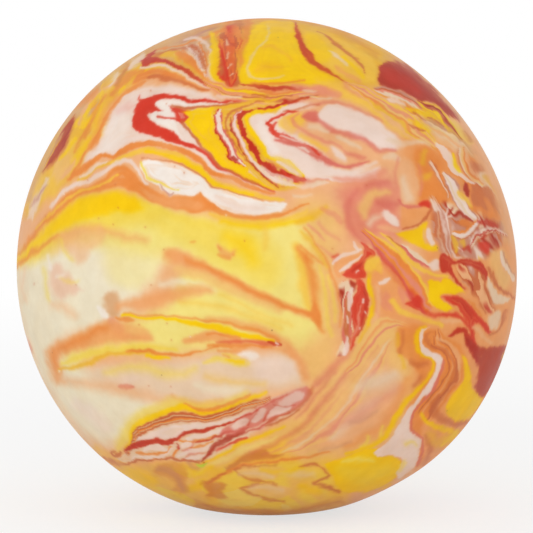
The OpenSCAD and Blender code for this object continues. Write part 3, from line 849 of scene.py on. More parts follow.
RIGHT_KNOT = (
    Streak(ROSE, "366,186,2 376,182,3.4 388,183,2 / 356,190,2 349,202,3 347,214,3 350,226,3"
        " 364,242,2", 3, 0.7, 0.55),
    Streak(HONEY, "388,193,2 376,193,4 367,199,5 363,207,5 364,216,3", 3.6, 0.7, 0.85),
    Streak(ROSE, "377,203,3 386,206,5 396,204,3", 3.6, 0.6, 0.65),
    Streak(BLUSH, "369,223,2.6 374,218,3.4 380,216,2", 3, 0.5, 0.7),
    Pool(SHELL, "381,213 386,211 396,217 400,224 396,225 390,223 385,219", 1.8, 0.5, 1, 0),
    Streak(PEACH, "380,226,2 392,229,3.4 404,230,2", 2.6, 0.5, 0.8),
    Tangle((APRICOT, SAFFRON, PEACH, ORANGE, HONEY, CORAL, APRICOT), "372,262 384,256 396,270 406,288 404,306"
        " 396,320 384,322 374,312 376,292", 3, 1, 0.65, fold=13, lean=70),
    Ribbon((SAFFRON, ORANGE, CORAL, ORANGE, ROSE, CORAL), "364,232,4 384,250,8 403,272,11 418,294,10"
        " 424,304,8", 1.6, 0.8),
    Streak(RED, "376,248,0.6 396,273,1.2 405,286,1.6 412,294,3.4 417,301,5", 2.4, 0.8, 0.55),
    Pool(RED, "406,303 412,300 415,294 420,294 424,300 426,308 434,312 446,313 457,313 464,317 469,324 466,326"
        " 460,320 452,317 440,317 428,315 410,306", 1.5, 0.8, 0.9),
    Streak(SAFFRON, "380,232,0.8 396,245,2.6 404,253,2.6 411,261,2.2 428,272,1.8 448,277,1", 1.1, 0.5, 0.95),
    Streak(RUST, "386,236,0.5 396,242,0.9 406,250,0.9", 0.9, 0.5, 0.75),
    Pool(LEMON, "396,233 404,231 412,229 424,222 428,222 426,229 425,236 427,242 432,245 438,247 437,250"
        " 429,250 409,243 402,238", 1.8, 0.6, 0.85, 0),
    Streak(PEACH, "424,228,1 424,236,1.6 426,242,1", 1.6, 0.5, 0.8),
    Ribbon((BLUSH, BLUSH, ROSE, ROSE), "402,245,1.4 410,252,3 418,259,3.6 427,264,2.4", 1.2, 0.7),
    Pool(SHELL, "428,262 433,259 438,261 438,268 434,270 429,269", 1.5, 0.6, 0.9, 0),
    Pool(APRICOT, "334,266 340,256 352,250 362,248 362,258 352,266 344,274 336,276", 2, 0.7, 0.9),
    Streak(RED, "332,257,1.6 337,255,2 334,262,1", 1.8, 0.6, 0.6),
    Tangle((ROSE, RUST, SHELL, CORAL, OXBLOOD, BLUSH), "338,284 347,279 356,282 354,300 353,320 352,336"
        " 345,352 338,356 341,340 343,322 340,302", 1.6, 1, 0.9, fold=9, lean=84),
    Pool(RED, "342,274 350,266 361,256 363,248 360,241 364,243 368,248 372,250 375,255 371,259 365,262 364,269"
        " 367,275 363,278 356,278 349,276", 1.2, 0.8, 0.9),
    Pool(RED, "357,279 362,279 366,289 369,299 369,310 367,317 363,323 356,340 350,349 350,340 354,330 352,320"
        " 352,308 354,298 357,290", 1.2, 0.9, 0.9),
    Streak(OXBLOOD, "363,286,1 366,298,1.8 366,310,1.8 357,336,1 / 352,270,1 358,267,1.8"
        " 362,262,1", 1.5, 0.7, 0.45),
    Streak(SHELL, "333,264,0.9 337,258,1.6 345,253,1.6 360,249,1 / 340,271,0.9 345,268,1.6 350,263,1.7"
        " 361,254,0.8 / 354,241,1 355,245,1.8 358,249,1", 0.9, 0.4, 0.95),
    Streak(SHELL, "352,287,1.6 350,294,3 351,302,2.8 349,310,1.8 / 346,316,0.8 348,323,1.2 / 347,337,1.4"
        " 346,345,2.4 344,353,2 / 363,299,0.8 363,302,0.9 / 365,312,0.7 366,314,0.7 / 358,327,0.7 358,329,0.7"
        " / 356,272,0.8 358,271,0.8", 0.9, 0.4, 0.9),
    Streak(CORAL, "362,304,0.7 359,314,1.1 357,325,1.1 350,345,0.8", 0.8, 0.5, 0.85),
    Streak(GOLD, "369,275,1.6 369,285,2.6 371,294,2 373,303,2.4 372,312,2.6 368,320,2.6"
        " 359,342,1.2", 2, 0.8, 0.9),
    Streak(LEMON, "368,278,0.8 369,287,1.6 371,296,1 / 372,306,1 370,315,1.6 366,324,1.2", 1.6, 0.9, 0.7),
    Pool(SAFFRON, "364,264 370,257 380,258 377,266 371,272 366,272", 2.2, 1.2, 0.9, 0),
    Streak(SHELL, "379,282,1.6 384,280,2.8 388,278,1.6", 1.3, 0.4, 0.95),
    Streak(PEACH, "376,286,2 379,300,2.6 378,312,2.4 371,322,1.6", 2, 0.6, 0.8),
    Streak(ORANGE, "384,262,2 394,276,3 404,288,2", 2.4, 0.8, 0.5),
    Streak(SAFFRON, "392,300,2 398,308,2.6 406,314,2.6 430,321,2.4 441,325,2.2", 2, 0.7, 0.9),
    Ribbon((HONEY, CORAL, HONEY, APRICOT, HONEY), "404,325,2 392,323,5 381,326,7 373,334,7.6 367,346,7"
        " 358,358,6 348,369,4", 1.6, 0.8, 0.85),
)

RIGHT_SHOULDER = (
    Pool(ORANGE, "418,146 434,150 446,168 450,190 444,206 430,198 420,200 418,184 412,166", 4, 0.8, 0.85),
    Streak(GOLD, "424,151,2 421,162,2.6 / 423,178,3 428,175,3", 2.6, 0.7, 0.7),
    Pool(PEACH, "399,160 410,158 417,170 419,186 417,198 411,205 404,204 399,195 397,178", 2.6, 0.7, 0.95),
    Streak(BLUSH, "404,178,3 405,190,5 408,198,4.4", 4, 0.5, 0.7),
    Streak(CORAL, "397,158,1.4 395,174,1.8 396,188,1.8 399,199,1.4 / 418,164,0.8 421,178,1.2"
        " 420,194,1", 2, 0.5, 0.7),
    Pool(APRICOT, "402,207 412,208 424,208 430,209 426,217 419,223 410,226 402,226", 2, 0.5, 0.95, 0.1),
    Streak(ROSE, "398,199,0.8 403,205,1.3 411,207,1.6 419,205,1.6", 1.4, 0.5, 0.85),
    Pool(RED, "418,203 423,200 428,200 432,203 433,209 428,207 421,206", 1.4, 0.6, 0.95, 0.1),
    Streak(RUST, "432,206,1.6 430,212,1.8 420,223,1.2 403,228,0.8", 1.1, 0.5, 0.9),
    # The tan band along the right outline is painted shade at the ball's edge.
    Streak(TAN, "466,146,3 478,168,4 498,214,4 506,240,3", 5, 1, 0.5),
    Tangle((RUST, ORANGE, TAN, PEACH, GOLD, BLUSH, RUST), "462,148 476,160 490,186 500,216 496,220 480,214"
        " 468,200 458,182 456,164", 4, 1, 0.75, fold=10, lean=65),
    Tangle((RUST, MAUVE, SHELL, GOLD, RUST, BLUSH, OXBLOOD, MAUVE), "434,206 446,202 456,206 468,212 480,216"
        " 498,222 502,236 494,254 476,258 452,256 440,250 433,230", 3, 1.4, 0.9, fold=11, lean=62),
    Ribbon((PEACH, ORANGE, HONEY, BLUSH, RUST), "462,150,4 463,160,5.6 467,169,5.6 474,177,4.6"
        " 482,183,3", 1.8, 1, 0.8),
    Ribbon((APRICOT, SHELL, SHELL, SHELL, ORANGE), "438,145,3.6 444,151,6 449,159,6 453,167,5 459,174,4"
        " 466,179,3.4 474,182,1.6", 2, 1.4, 0.85),
    Streak(LEMON, "453,154,1.2 454,160,1.7 456,167,1.4 459,172,0.8", 1.1, 0.5, 0.9),
    Ribbon((RUST, SHELL, SHELL, MAUVE), "430,162,2.4 434,167,3.4 437,173,2 441,182,1.2 445,190,1.2"
        " 447,198,1", 1.6, 1.4, 0.8),
    Ribbon((MAUVE, SHELL, SHELL, BLUSH, SHELL, MAUVE), "445,173,2.4 449,181,5 453,189,5.4 456,197,5"
        " 467,211,4.6 473,217,4 478,223,2.4", 1, 0.7),
    Streak(SAFFRON, "458,192,1 461,196,2 472,207,0.8", 1.1, 0.5, 0.95),
    Pool(OXBLOOD, "463,181 467,186 468,194 465,196 462,189", 0.9, 0.4, 0.9, 0),
    Streak(ORANGE, "470,207,1 480,209,2.4 490,216,1.6 / 462,220,2.4 468,223,3.4 474,223,1.6", 2, 0.8, 0.85),
    Streak(OXBLOOD, "462,213,0.7 467,218,1.4 472,221,0.9 / 444,218,0.8 447,213,1.5 451,209,0.9", 1, 0.6, 0.8),
    Ribbon((RUST, SHELL, MAUVE, SHELL, RUST, BLUSH, MAUVE), "433,198,3 437,206,5 441,215,6 443,225,7 444,235,7"
        " 446,245,6 449,254,4", 2, 1.4, 0.5),
    Streak(SHELL, "432,200,1.4 435,204,2.4 436,209,1.6 / 447,207,0.7 445,213,1.1 445,219,0.8 / 446,217,1.2"
        " 449,216,1.4", 1, 0.6, 0.85),
    Streak(SHELL, "429,228,2 430,235,3.2 432,243,2.4", 1.3, 0.5, 0.95),
    Ribbon((RUST, SHELL, SHELL, ORANGE), "478,221,2 475,226,3 469,231,4 461,234,4 454,234,2.6", 1, 0.6),
    Streak(GOLD, "451,237,1.4 456,243,3 456,251,1.6 / 462,240,2 464,246,1.6", 1.6, 0.6, 0.9),
    Ribbon((MAUVE, SHELL, CRIMSON, BLUSH, RUST), "470,247,2 473,240,4 479,233,5 488,230,4.6 496,230,3.4"
        " 504,234,1.6", 1.8, 1, 0.7),
    Streak(CRIMSON, "478,221,1 486,222,2.6 495,226,1.6 / 480,237,1.4 484,234,2 / 461,249,1.4 467,247,2"
        " 470,251,1.2", 1.5, 0.9, 0.8),
    Pool(RED, "478,242 485,240 489,246 487,253 480,250", 1.6, 0.9, 0.85),
    Streak(SHELL, "452,251,0.8 455,256,1.1 461,257,0.8 / 458,247,0.7 462,250,0.8", 0.9, 0.6, 0.8),
)

RED_SWIRLS = (
    Pool(HONEY, "490,252 502,250 508,262 510,280 504,290 496,280 490,266", 4, 0.8, 0.75),
    Tangle((RUST, MAUVE, SHELL, CORAL, RUST, BLUSH, CRIMSON, PEACH), "456,264 466,262 478,270 484,282 490,300"
        " 494,314 484,308 464,282", 2, 1.2, 0.9, fold=11, lean=62),
    Pool(CRIMSON, "439,262 441,255 444,253 450,258 456,259 472,258 485,266 488,273 486,279 483,280 481,275"
        " 478,270 473,266 460,263 453,263 451,265 453,270 462,284 466,290 460,287 454,279 449,274 442,272"
        " 439,268", 1.2, 0.9, 0.92),
    Streak(OXBLOOD, "468,281,0.9 471,285,1.8 473,290,1", 1, 0.5, 0.8),
    Streak(RUST, "482,276,1.4 487,294,1.6 493,303,1.2 / 488,266,0.8 491,275,1.5 495,283,1.8 501,289,1.6"
        " 508,293,1.6 513,298,1", 1.1, 0.7, 0.85),
    Pool(BLUSH, "487,276 490,279 497,292 505,295 509,299 502,303 494,304 490,297"
        " 487,288", 1.4, 0.7, 0.95, 0.1),
    Ribbon((MAUVE, BLUSH, SHELL, PEACH), "501,253,2 504,262,3.6 508,271,3.4 512,279,2", 1.2, 0.7, 0.85),
    Pool(LEMON, "427,281 434,279 440,281 446,278 452,281 465,292 448,293 442,294 441,297 444,302 449,305"
        " 453,309 447,312 441,311 435,307 430,300 427,291", 1.3, 0.7, 0.98, 0),
    Pool(RED, "441,296 450,294 460,296 466,300 471,306 475,312 487,323 491,330 486,331 480,325 475,322 474,332"
        " 476,342 478,352 472,350 470,338 468,325 459,309 451,304", 1.3, 0.9, 0.92),
    Streak(CRIMSON, "452,298,1.4 461,301,2.6 467,308,2.4 471,317,2", 2, 0.8, 0.6),
    Streak(ORANGE, "468,299,0.8 474,307,1.4 481,315,1.2", 1.3, 0.6, 0.8),
    Pool(BLUSH, "489,315 499,311 500,316 498,322 494,328 490,327", 1.6, 0.7, 0.85, 0.1),
    Streak(RUST, "506,310,1 502,320,1.8 497,329,1.2 490,333,1 / 480,304,0.8 486,312,1.2", 1.4, 0.7, 0.75),
    Streak(PEACH, "440,320,1.4 450,321,2.4 460,321,1.6 / 474,326,2 482,334,2.4 490,342,2", 1.6, 0.6, 0.85),
    Streak(CRIMSON, "448,335,1.2 455,332,2.6 462,329,3 467,334,3 469,343,3 473,352,2.6"
        " 476,361,1.4", 1.3, 0.8, 0.9),
    Pool(OXBLOOD, "464,334 474,342 486,348 506,346 503,362 495,380 485,396 478,396 474,386 477,372 474,358"
        " 467,346", 2, 0.9, 0.8, 0),
)

AGATE = (
    Pool(ORANGE, "396,328 412,324 430,328 446,336 460,346 466,360 462,380 450,396 436,408 424,420 420,440"
        " 424,456 414,470 402,462 396,440 404,412 420,388 414,366 398,352", 3, 0.8, 0.75),
    Streak(RUST, "402,331,1.4 402,342,2 400,352,1.4 / 410,361,2 418,364,4 425,364,2 / 420,376,1.6"
        " 414,384,2.4", 2.6, 0.9, 0.55),
    Streak(GOLD, "396,334,1.4 397,344,2 / 400,356,2 404,366,2", 2, 0.7, 0.6),
    Ribbon((ORANGE, APRICOT, RUST, ORANGE, APRICOT, ORANGE, RUST, ORANGE), "436,332,4 441,344,9 450,353,9"
        " 453,366,9 450,379,9 433,402,9 426,412,8", 1.4, 0.8, 0.85),
    Pool(RUST, "431,331 427,336 430,342 439,345 447,350 453,357 457,365 458,375 455,385 449,393 442,400"
        " 440,395 447,386 451,376 452,366 449,358 441,351 431,347 424,342 425,334", 1.5, 0.8, 0.55),
    Streak(PEACH, "436,336,1 444,340,1.8 453,347,2 459,357,1.8 459,368,1.2", 1.6, 0.5, 0.75),
    Streak(LEMON, "424,326,1.2 417,332,2.4 415,341,2.8 418,350,2.6 426,355,2.2 433,361,1.8 432,369,1.8"
        " 426,379,2 400,409,2.8 388,430,2.4 380,439,2.4 370,445,2.2 346,454,1.2", 2, 0.7, 0.8, 0.1),
    Pool(SHELL, "428,327 423,330 422,338 422,344 428,348 436,353 442,360 442,367 434,386 430,393 420,401"
        " 413,410 410,420 411,430 416,436 421,440 420,450 417,460 414,468 405,475 398,480 397,470 402,463"
        " 400,457 390,455 378,456 373,453 380,447 388,440 397,424 403,415 418,397 431,377 435,368 436,363"
        " 430,357 422,353 419,346 419,336 421,329", 1, 0.5, 1, 0.1),
    Streak(SUN, "405,444,1.4 411,442,2 416,445,1 / 404,462,2 400,470,2", 2, 0.5, 0.6),
    Streak(ROSE, "443,360,0.7 442,368,1.2 434,388,1.6 430,394,1.2 417,407,1.2 412,415,1.3 411,423,1.4"
        " 412,430,1.4 416,435,1.3 421,438,1.2 423,446,1.3 421,455,1.3 417,464,1.1", 0.9, 0.5, 0.8, 0.1),
    Streak(RUST, "426,436,2 430,446,3 428,456,2.4 422,464,1.4", 2.4, 0.8, 0.6),
    Pool(LEMON, "462,356 467,362 470,372 470,384 476,393 482,398 474,412 464,421 452,419 446,411 448,400"
        " 456,391 463,378 464,366", 1.8, 0.8, 0.85, 0),
    Streak(RUST, "440,396,2 434,404,4 434,412,4.4 441,418,3.6 452,423,3 466,422,2.4", 2.4, 0.9, 0.7),
    Streak(GOLD, "430,434,3 436,442,5 446,440,5 456,432,3", 4, 0.9, 0.6),
    Streak(LEMON, "421,414,1.2 425,420,2.4 434,426,3 446,430,3.2 456,431,2.6 449,438,2.4"
        " 441,446,1.6", 1.8, 0.7, 0.85),
)

# Dark dust specks, and pale dots that are painted glints on tiny bubbles.
DUST_AND_GLINTS = (
    Streak(RUST, "174,165,0.4 / 183,172,0.5 / 163,250,0.4 / 243,241,0.5 / 145,227,0.4 / 87,178,0.4 /"
        " 114,185,0.5 / 45,217,0.4 / 118,207,0.5 / 98,218,0.4 / 113,223,0.4 / 480,355,0.6 / 166,323,0.5 /"
        " 150,284,0.4 / 139,324,0.4 / 35,283,0.4 / 75,284,0.4 / 172,339,0.4 / 148,385,0.4 / 170,385,0.5 /"
        " 331,248,0.5 / 150,90,0.4 / 167,103,0.4 / 316,152,0.4 / 367,185,0.5", 0.9, 0, 0.7, 0),
    # Painted glints: pale dots standing for highlights on tiny bubbles.
    Streak(CHALK, "64,193,0.6 / 276,345,0.5 / 190,336,0.5 / 58,371,0.8 / 227,214,0.5", 0.9, 0, 0.9, 0),
)

MARBLING = (*GROUNDS, *GOLD_SHOULDER, *RED_HOOK, *TOP_BANDS, *TOP_YELLOW, *YELLOW_WEDGE, *SERRATED_BANDS,
            *FAN, *UPPER_RIGHT, *LEFT_FAN, *WHITE_RIVER, *SOFT_CENTRE, *LEFT_BANDS, *LOWER_BRAID, *UNDERSIDE,
            *RIGHT_KNOT, *RIGHT_SHOULDER, *RED_SWIRLS, *AGATE, *DUST_AND_GLINTS)


@dataclass(frozen=True)
class Laying:
    """How each dye lies over those before it, with sizes in the photograph's pixels."""

    vein_across: float = 3.2
    vein_along: float = 30.0
    vein_gain: float = 1.6
    vein_soft: tuple[float, float] = (4.0, 1.5)
    bleed: float = 2.5
    bled_share: float = 0.25
    wander: float = 0.35
    rag_wander: float = 0.1
    cloud_tint: tuple[float, float, float] = (0.6, 0.9, 1.2)

    def lay(self, stroke: Streak, curve: np.ndarray, spots: Spots, grain: Grain, colour: np.ndarray) -> None:
        """Lays one part of a stroke.

        Args:
            stroke: The stroke.
            curve: The part's curve.
            spots: The places to dye.
            grain: The noise that thins the dye in veins.
            colour: The sRGB colour of each place so far, which takes the dye.
        """
        wide = stroke.soft + self.bleed
        margin = curve[:, 2].max() + wide + 2 * stroke.rag
        low, high = curve[:, :2].min(0) - margin, curve[:, :2].max(0) + margin
        near = np.flatnonzero(((spots.seen > low) & (spots.seen < high)).all(1))
        if not len(near):
            return
        seen = spots.seen[near]
        uneven = spots.uneven[near] + spots.jag[near] / max(1, stroke.soft)
        gap, side = stroke.depth(seen, curve)
        gap += stroke.rag * uneven
        lines = grain.at(np.column_stack([gap / self.vein_across, seen / self.vein_along]), 1)
        crisp = ease(np.array(stroke.soft), *self.vein_soft)
        thinned = 1 - stroke.veins * np.clip(lines * self.vein_gain, 0, 1) * crisp
        near_edge, bled_edge = ease(gap, stroke.soft, -stroke.soft), ease(gap, wide, -wide)
        edge = (1 - self.bled_share) * near_edge + self.bled_share * bled_edge
        drift = self.wander * grain.at(np.column_stack([side, seen / self.vein_along]), 1)
        tint = stroke.tint(side + (drift + self.rag_wander * stroke.rag * uneven), seen)
        colour[near] += (stroke.strength * thinned * edge)[:, None] * (tint - colour[near])

    def dyed(self, spots: Spots) -> np.ndarray:
        """Lays the marbling's dyes over one another, as they show from the photograph's side.

        Args:
            spots: The places to dye.

        Returns:
            The sRGB colour of each place.
        """
        colour = np.tile(channels(PEACH.value), (len(spots.seen), 1))
        grain = Grain(VEIN_SEED)
        for stroke in MARBLING:
            for curve in stroke.curves():
                self.lay(stroke, curve, spots, grain, colour)
        return np.clip(colour + spots.cloud[:, None] * np.array(self.cloud_tint), 0, 1)


BANDS = (
    (0.00, LEMON), (0.09, LEMON), (0.12, GOLD), (0.15, ORANGE), (0.17, SHELL), (0.22, CHALK), (0.25, BLUSH),
    (0.265, RED), (0.285, CRIMSON), (0.30, PEACH), (0.36, APRICOT), (0.40, CORAL), (0.43, SHELL),
    (0.47, SAFFRON), (0.55, SUN), (0.64, BUTTER), (0.70, SUN), (0.73, ORANGE), (0.76, APRICOT), (0.80, ROSE),
    (0.82, OXBLOOD), (0.84, RUST), (0.86, SHELL), (0.91, PEACH), (0.95, GOLD), (1.00, LEMON),
)

THREADS = (ORANGE, SHELL, RUST, SAFFRON, BLUSH, CORAL, CRIMSON, APRICOT)


@dataclass(frozen=True)
class Folding:
    """How the dyes were folded where the photograph doesn't show them: heights and sizes, in millimetres."""

    sweep: tuple[float, float] = (24, 42)
    fold: tuple[float, float] = (9, 19)
    climb: tuple[float, float, float] = (0.008, 0.006, 0.021)
    waves: tuple[tuple[float, float], ...] = ((0.3, 24), (0.09, 8), (0.012, 2.4))
    thread: tuple[float, float] = (0.8, 10)
    thread_pull: tuple[float, float, float] = (0.5, 0.4, 1)
    threads_per_band: float = 2
    patch: tuple[float, float] = (0.85, 18)
    patch_edge: tuple[float, float] = (0.1, 0.35)

    def dyed(self, places: np.ndarray) -> np.ndarray:
        """Folds the dyes into bands, with patches of threads.

        Args:
            places: Places on the ball, in millimetres.

        Returns:
            The sRGB colour of each place.
        """
        grains = [Grain(FOLD_SEED + i) for i in range(9)]
        swept = places + self.sweep[0] * np.stack([g.at(places, self.sweep[1]) for g in grains[:3]], 1)
        folded = swept + self.fold[0] * np.stack([g.at(swept, self.fold[1]) for g in grains[3:6]], 1)
        phase = folded @ np.array(self.climb)
        for grain, (height, size) in zip(grains[6:], self.waves):
            phase += height * grain.at(folded, size)
        steps = [step for step, _ in BANDS]
        table = np.array([channels(dye.value) for _, dye in BANDS])
        bands = np.stack([np.interp(phase % 1, steps, table[:, i]) for i in range(3)], 1)
        drawn = self.thread[0] * grains[0].at(folded * np.array(self.thread_pull), self.thread[1])
        threads = graded(THREADS, (drawn + self.threads_per_band * phase) % 1)
        patch = self.patch[0] * ease(grains[1].at(swept, self.patch[1]), *self.patch_edge)[:, None]
        return bands + patch * (threads - bands)


@dataclass(frozen=True)
class Viewpoint:
    """The photograph's camera: a long lens, a little above the ball's middle."""

    lens: float = 200.0
    sensor: float = 36.0
    frame_side: float = 533.0
    elevation: float = math.radians(4.5)
    ball_x: float = 266.4
    ball_y: float = 267.8
    outline_radius: float = 250.2
    clip_near: float = 10 * MM
    clip_far: float = 100.0

    def axes(self) -> tuple[np.ndarray, np.ndarray, np.ndarray]:
        """Gives the directions to the camera's right, up, and back towards the camera."""
        rise, run = math.sin(self.elevation), math.cos(self.elevation)
        return np.array([1.0, 0, 0]), np.array([0, rise, run]), np.array([0, -run, rise])

    def focal(self) -> float:
        """Gives the lens's focal length in pixels."""
        return self.lens / self.sensor * self.frame_side

    def stand(self, middle: np.ndarray, radius: float) -> np.ndarray:
        """Finds where the camera stands, so that the ball has its size and place in the frame.

        Args:
            middle: The middle of the ball.
            radius: The ball's radius.

        Returns:
            The camera's place.
        """
        right, up, back = self.axes()
        away = math.hypot(self.focal() * radius / self.outline_radius, radius)
        per_pixel = away / self.focal()
        half = (self.frame_side - 1) / 2
        return middle + back * away + (up * (self.ball_y - half) - right * (self.ball_x - half)) * per_pixel

    def seen(self, places: np.ndarray, stand: np.ndarray) -> np.ndarray:
        """Finds where the photograph shows places.

        Args:
            places: The places, in metres.
            stand: Where the camera stands.

        Returns:
            Their x and y in pixels.
        """
        right, up, back = self.axes()
        out = places - stand
        scale = self.focal() / -(out @ back)
        half = (self.frame_side - 1) / 2
        return np.stack([half + scale * (out @ right), half - scale * (out @ up)], 1)

    def make(self, stand: np.ndarray) -> None:
        """Sets up the camera.

        Args:
            stand: Where it stands.
        """
        bpy.ops.object.select_all(action="DESELECT")
        bpy.ops.object.camera_add(location=stand, rotation=(math.pi / 2 - self.elevation, 0, 0))
        camera = bpy.context.object
        camera.data.lens = self.lens
        camera.data.sensor_width = self.sensor
        camera.data.clip_start = self.clip_near
        camera.data.clip_end = self.clip_far
        bpy.context.scene.camera = camera


@dataclass(frozen=True)
class Lump:
    """A place on the outline where the soft ball bulges, or is dented where its height is below 0."""

    turn: float
    height: float
    spread: float


@dataclass(frozen=True)
class BallForm:
    """The settled ball's sizes, in metres, and its port's, from the CAD."""

    radius: float = 35 * MM
    sag: float = 0.9 * MM
    foot: float = 5 * MM
    settle: float = 1.45
    wall: float = 2.5 * MM
    fit: float = 0.05 * MM
    crease: float = 0.1 * MM
    bore: float = 2 * MM
    boss: float = 6 * MM
    boss_end: float = 27 * MM
    boss_bevel: float = 1.5 * MM
    boss_root: float = 33.75 * MM
    seat: float = 4.65 * MM
    seat_floor: float = 33.6 * MM
    sharp: float = 40.0
    lumps: tuple[Lump, ...] = (
        Lump(math.radians(321), 0.5 * MM, math.radians(26)),
        Lump(math.radians(36), -0.52 * MM, math.radians(28)),
        Lump(math.radians(228), 0.12 * MM, math.radians(20)),
    )
    lumps_end: tuple[float, float] = (0.97, 0.75)

    def middle(self) -> np.ndarray:
        """Gives the middle of the ball's crown."""
        return np.array([0, 0, self.radius - self.sag])

    def reach(self, ways: np.ndarray, inset: float) -> np.ndarray:
        """Measures from the crown's middle out to the settled ball's surface.

        Args:
            ways: Directions, one unit row each.
            inset: How far inside the surface to stop.

        Returns:
            The distance along each direction.
        """
        flat = self.settle * self.radius
        rise = math.sqrt(flat ** 2 - self.foot ** 2) - self.middle()[2]
        up = ways[:, 2]
        crown = np.full(len(ways), self.radius - inset)
        settled = up * rise + np.sqrt((up * rise) ** 2 + (flat - inset) ** 2 - rise ** 2)
        floor = (self.middle()[2] - inset) / np.maximum(-up, 1e-3)
        near = np.stack([crown, settled, floor])
        low = near.min(0)
        return low - self.crease * np.log(np.exp((low - near) / self.crease).sum(0))

    def lumpy(self, ways: np.ndarray, view: Viewpoint) -> np.ndarray:
        """Adds up the lumps of a ball that has been squeezed and thrown.

        Args:
            ways: Directions from the crown's middle, one unit row each.
            view: The camera that the lumps are placed by.

        Returns:
            How far the surface is pushed out along each direction.
        """
        right, up, _ = view.axes()
        push = np.zeros(len(ways))
        for lump in self.lumps:
            angle = np.arccos(np.clip(ways @ (math.cos(lump.turn) * right + math.sin(lump.turn) * up), -1, 1))
            push += lump.height * np.exp(-(angle / lump.spread) ** 2)
        return push * ease(-ways[:, 2], *self.lumps_end)


def begin(name: str, primitive: str, **sizes: object) -> bpy.types.Object:
    """Adds a primitive with nothing else selected.

    Args:
        name: What the new piece is called.
        primitive: The primitive's operator, such as cube or circle.
        sizes: The operator's sizes and place.

    Returns:
        The new piece.
    """
    bpy.ops.object.select_all(action="DESELECT")
    getattr(bpy.ops.mesh, f"primitive_{primitive}_add")(**sizes)
    piece = bpy.context.object
    piece.name = piece.data.name = name
    bpy.ops.object.transform_apply(location=True, rotation=True, scale=True)
    return piece


def pick_up(piece: bpy.types.Object) -> None:
    """Selects one piece and nothing else.

    Args:
        piece: The piece.
    """
    bpy.ops.object.select_all(action="DESELECT")
    bpy.context.view_layer.objects.active = piece
    piece.select_set(True)


def places_of(piece: bpy.types.Object) -> np.ndarray:
    """Reads where a piece's points are.

    Args:
        piece: The piece.

    Returns:
        Its points, one row each, in metres.
    """
    flat = np.empty(3 * len(piece.data.vertices))
    piece.data.vertices.foreach_get("co", flat)
    return flat.reshape(-1, 3)


def ball_net(name: str, cuts: tuple[int, int]) -> tuple[bpy.types.Object, np.ndarray]:
    """Cuts a cube's faces into an even net, to be blown up into a ball.

    Args:
        name: What the piece is called.
        cuts: How many cuts each edge gets, first and again.

    Returns:
        The cube, and the direction that each of its points is to lie in.
    """
    piece = begin(name, "cube", size=2)
    bpy.ops.object.mode_set(mode="EDIT")
    bpy.ops.mesh.select_all(action="SELECT")
    for count in cuts:
        bpy.ops.mesh.subdivide(number_cuts=count)
    bpy.ops.object.mode_set(mode="OBJECT")
    ways = np.tan(places_of(piece) * math.pi / 4)
    return piece, ways / np.linalg.norm(ways, axis=1, keepdims=True)


def shape(piece: bpy.types.Object, places: np.ndarray) -> None:
    """Moves a piece's points.

    Args:
        piece: The piece.
        places: Where its points go, in metres.
    """
    piece.data.vertices.foreach_set("co", places.astype(np.float32).ravel())
    piece.data.update()


def turned(name: str, rings: tuple[tuple[float, float], ...]) -> bpy.types.Object:
    """Turns a closed solid on the port's axis, by extruding and resizing a disc from ring to ring.

    Args:
        name: What the piece is called.
        rings: The outwards distance from the crown's middle and the radius of each ring, in metres.

    Returns:
        The solid.
    """
    height = BallForm().middle()[2]
    start, radius = rings[0]
    piece = begin(name, "circle", vertices=SIDES, radius=radius, fill_type="NGON", location=(0, start, height),
                  rotation=(-math.pi / 2, 0, 0))
    bpy.ops.object.mode_set(mode="EDIT")
    bpy.ops.mesh.select_all(action="SELECT")
    for out, wide in rings[1:]:
        bpy.ops.mesh.extrude_region_move(TRANSFORM_OT_translate={"value": (0, out - start, 0)})
        bpy.ops.transform.resize(value=(wide / radius, 1, wide / radius), center_override=(0, out, height))
        start, radius = out, wide
    bpy.ops.mesh.select_all(action="SELECT")
    bpy.ops.mesh.normals_make_consistent(inside=False)
    bpy.ops.object.mode_set(mode="OBJECT")
    return piece


def carve(piece: bpy.types.Object, tool: bpy.types.Object) -> None:
    """Cuts one solid out of another, and takes the tool away.

    Args:
        piece: The solid that is cut.
        tool: The solid that is cut out of it.
    """
    pick_up(piece)
    cut = piece.modifiers.new("carve", "BOOLEAN")
    cut.operation = "DIFFERENCE"
    cut.solver = "MANIFOLD"
    cut.object = tool
    bpy.ops.object.modifier_apply(modifier=cut.name)
    bpy.data.objects.remove(tool)


def smooth(piece: bpy.types.Object, angle: float) -> None:
    """Shades a piece smooth, apart from its sharp edges.

    Args:
        piece: The piece.
        angle: The sharpest edge that is still shaded smooth, in degrees.
    """
    pick_up(piece)
    bpy.ops.object.shade_smooth_by_angle(angle=math.radians(angle))


def add_node(tree: bpy.types.NodeTree, kind: str, links: dict, **settings: object) -> bpy.types.Node:
    """Adds a node to a material, a floor or the world.

    Args:
        tree: The node tree.
        kind: The node's type, without the ShaderNode in front.
        links: What goes into each of its sockets, by name or number: a socket of another node, or a value.
        settings: The node's own settings.

    Returns:
        The node.
    """
    node = tree.nodes.new(f"ShaderNode{kind}")
    for key, value in settings.items():
        setattr(node, key, value)
    for key, value in links.items():
        if isinstance(value, bpy.types.NodeSocket):
            tree.links.new(value, node.inputs[key])
        else:
            node.inputs[key].default_value = value
    return node


def rgba(hex_colour: str) -> tuple[float, float, float, float]:
    """Gives an sRGB hex colour as a shader's linear colour."""
    return (*(float(c) for c in linear(channels(hex_colour))), 1.0)


def new_material(name: str) -> tuple[bpy.types.Material, Callable[..., bpy.types.Node]]:
    """Makes an empty node material.

    Args:
        name: The real material's name.

    Returns:
        The material, and what adds a node to it.
    """
    material = bpy.data.materials.new(name)
    material.use_nodes = True
    material.node_tree.nodes.clear()
    return material, partial(add_node, material.node_tree)


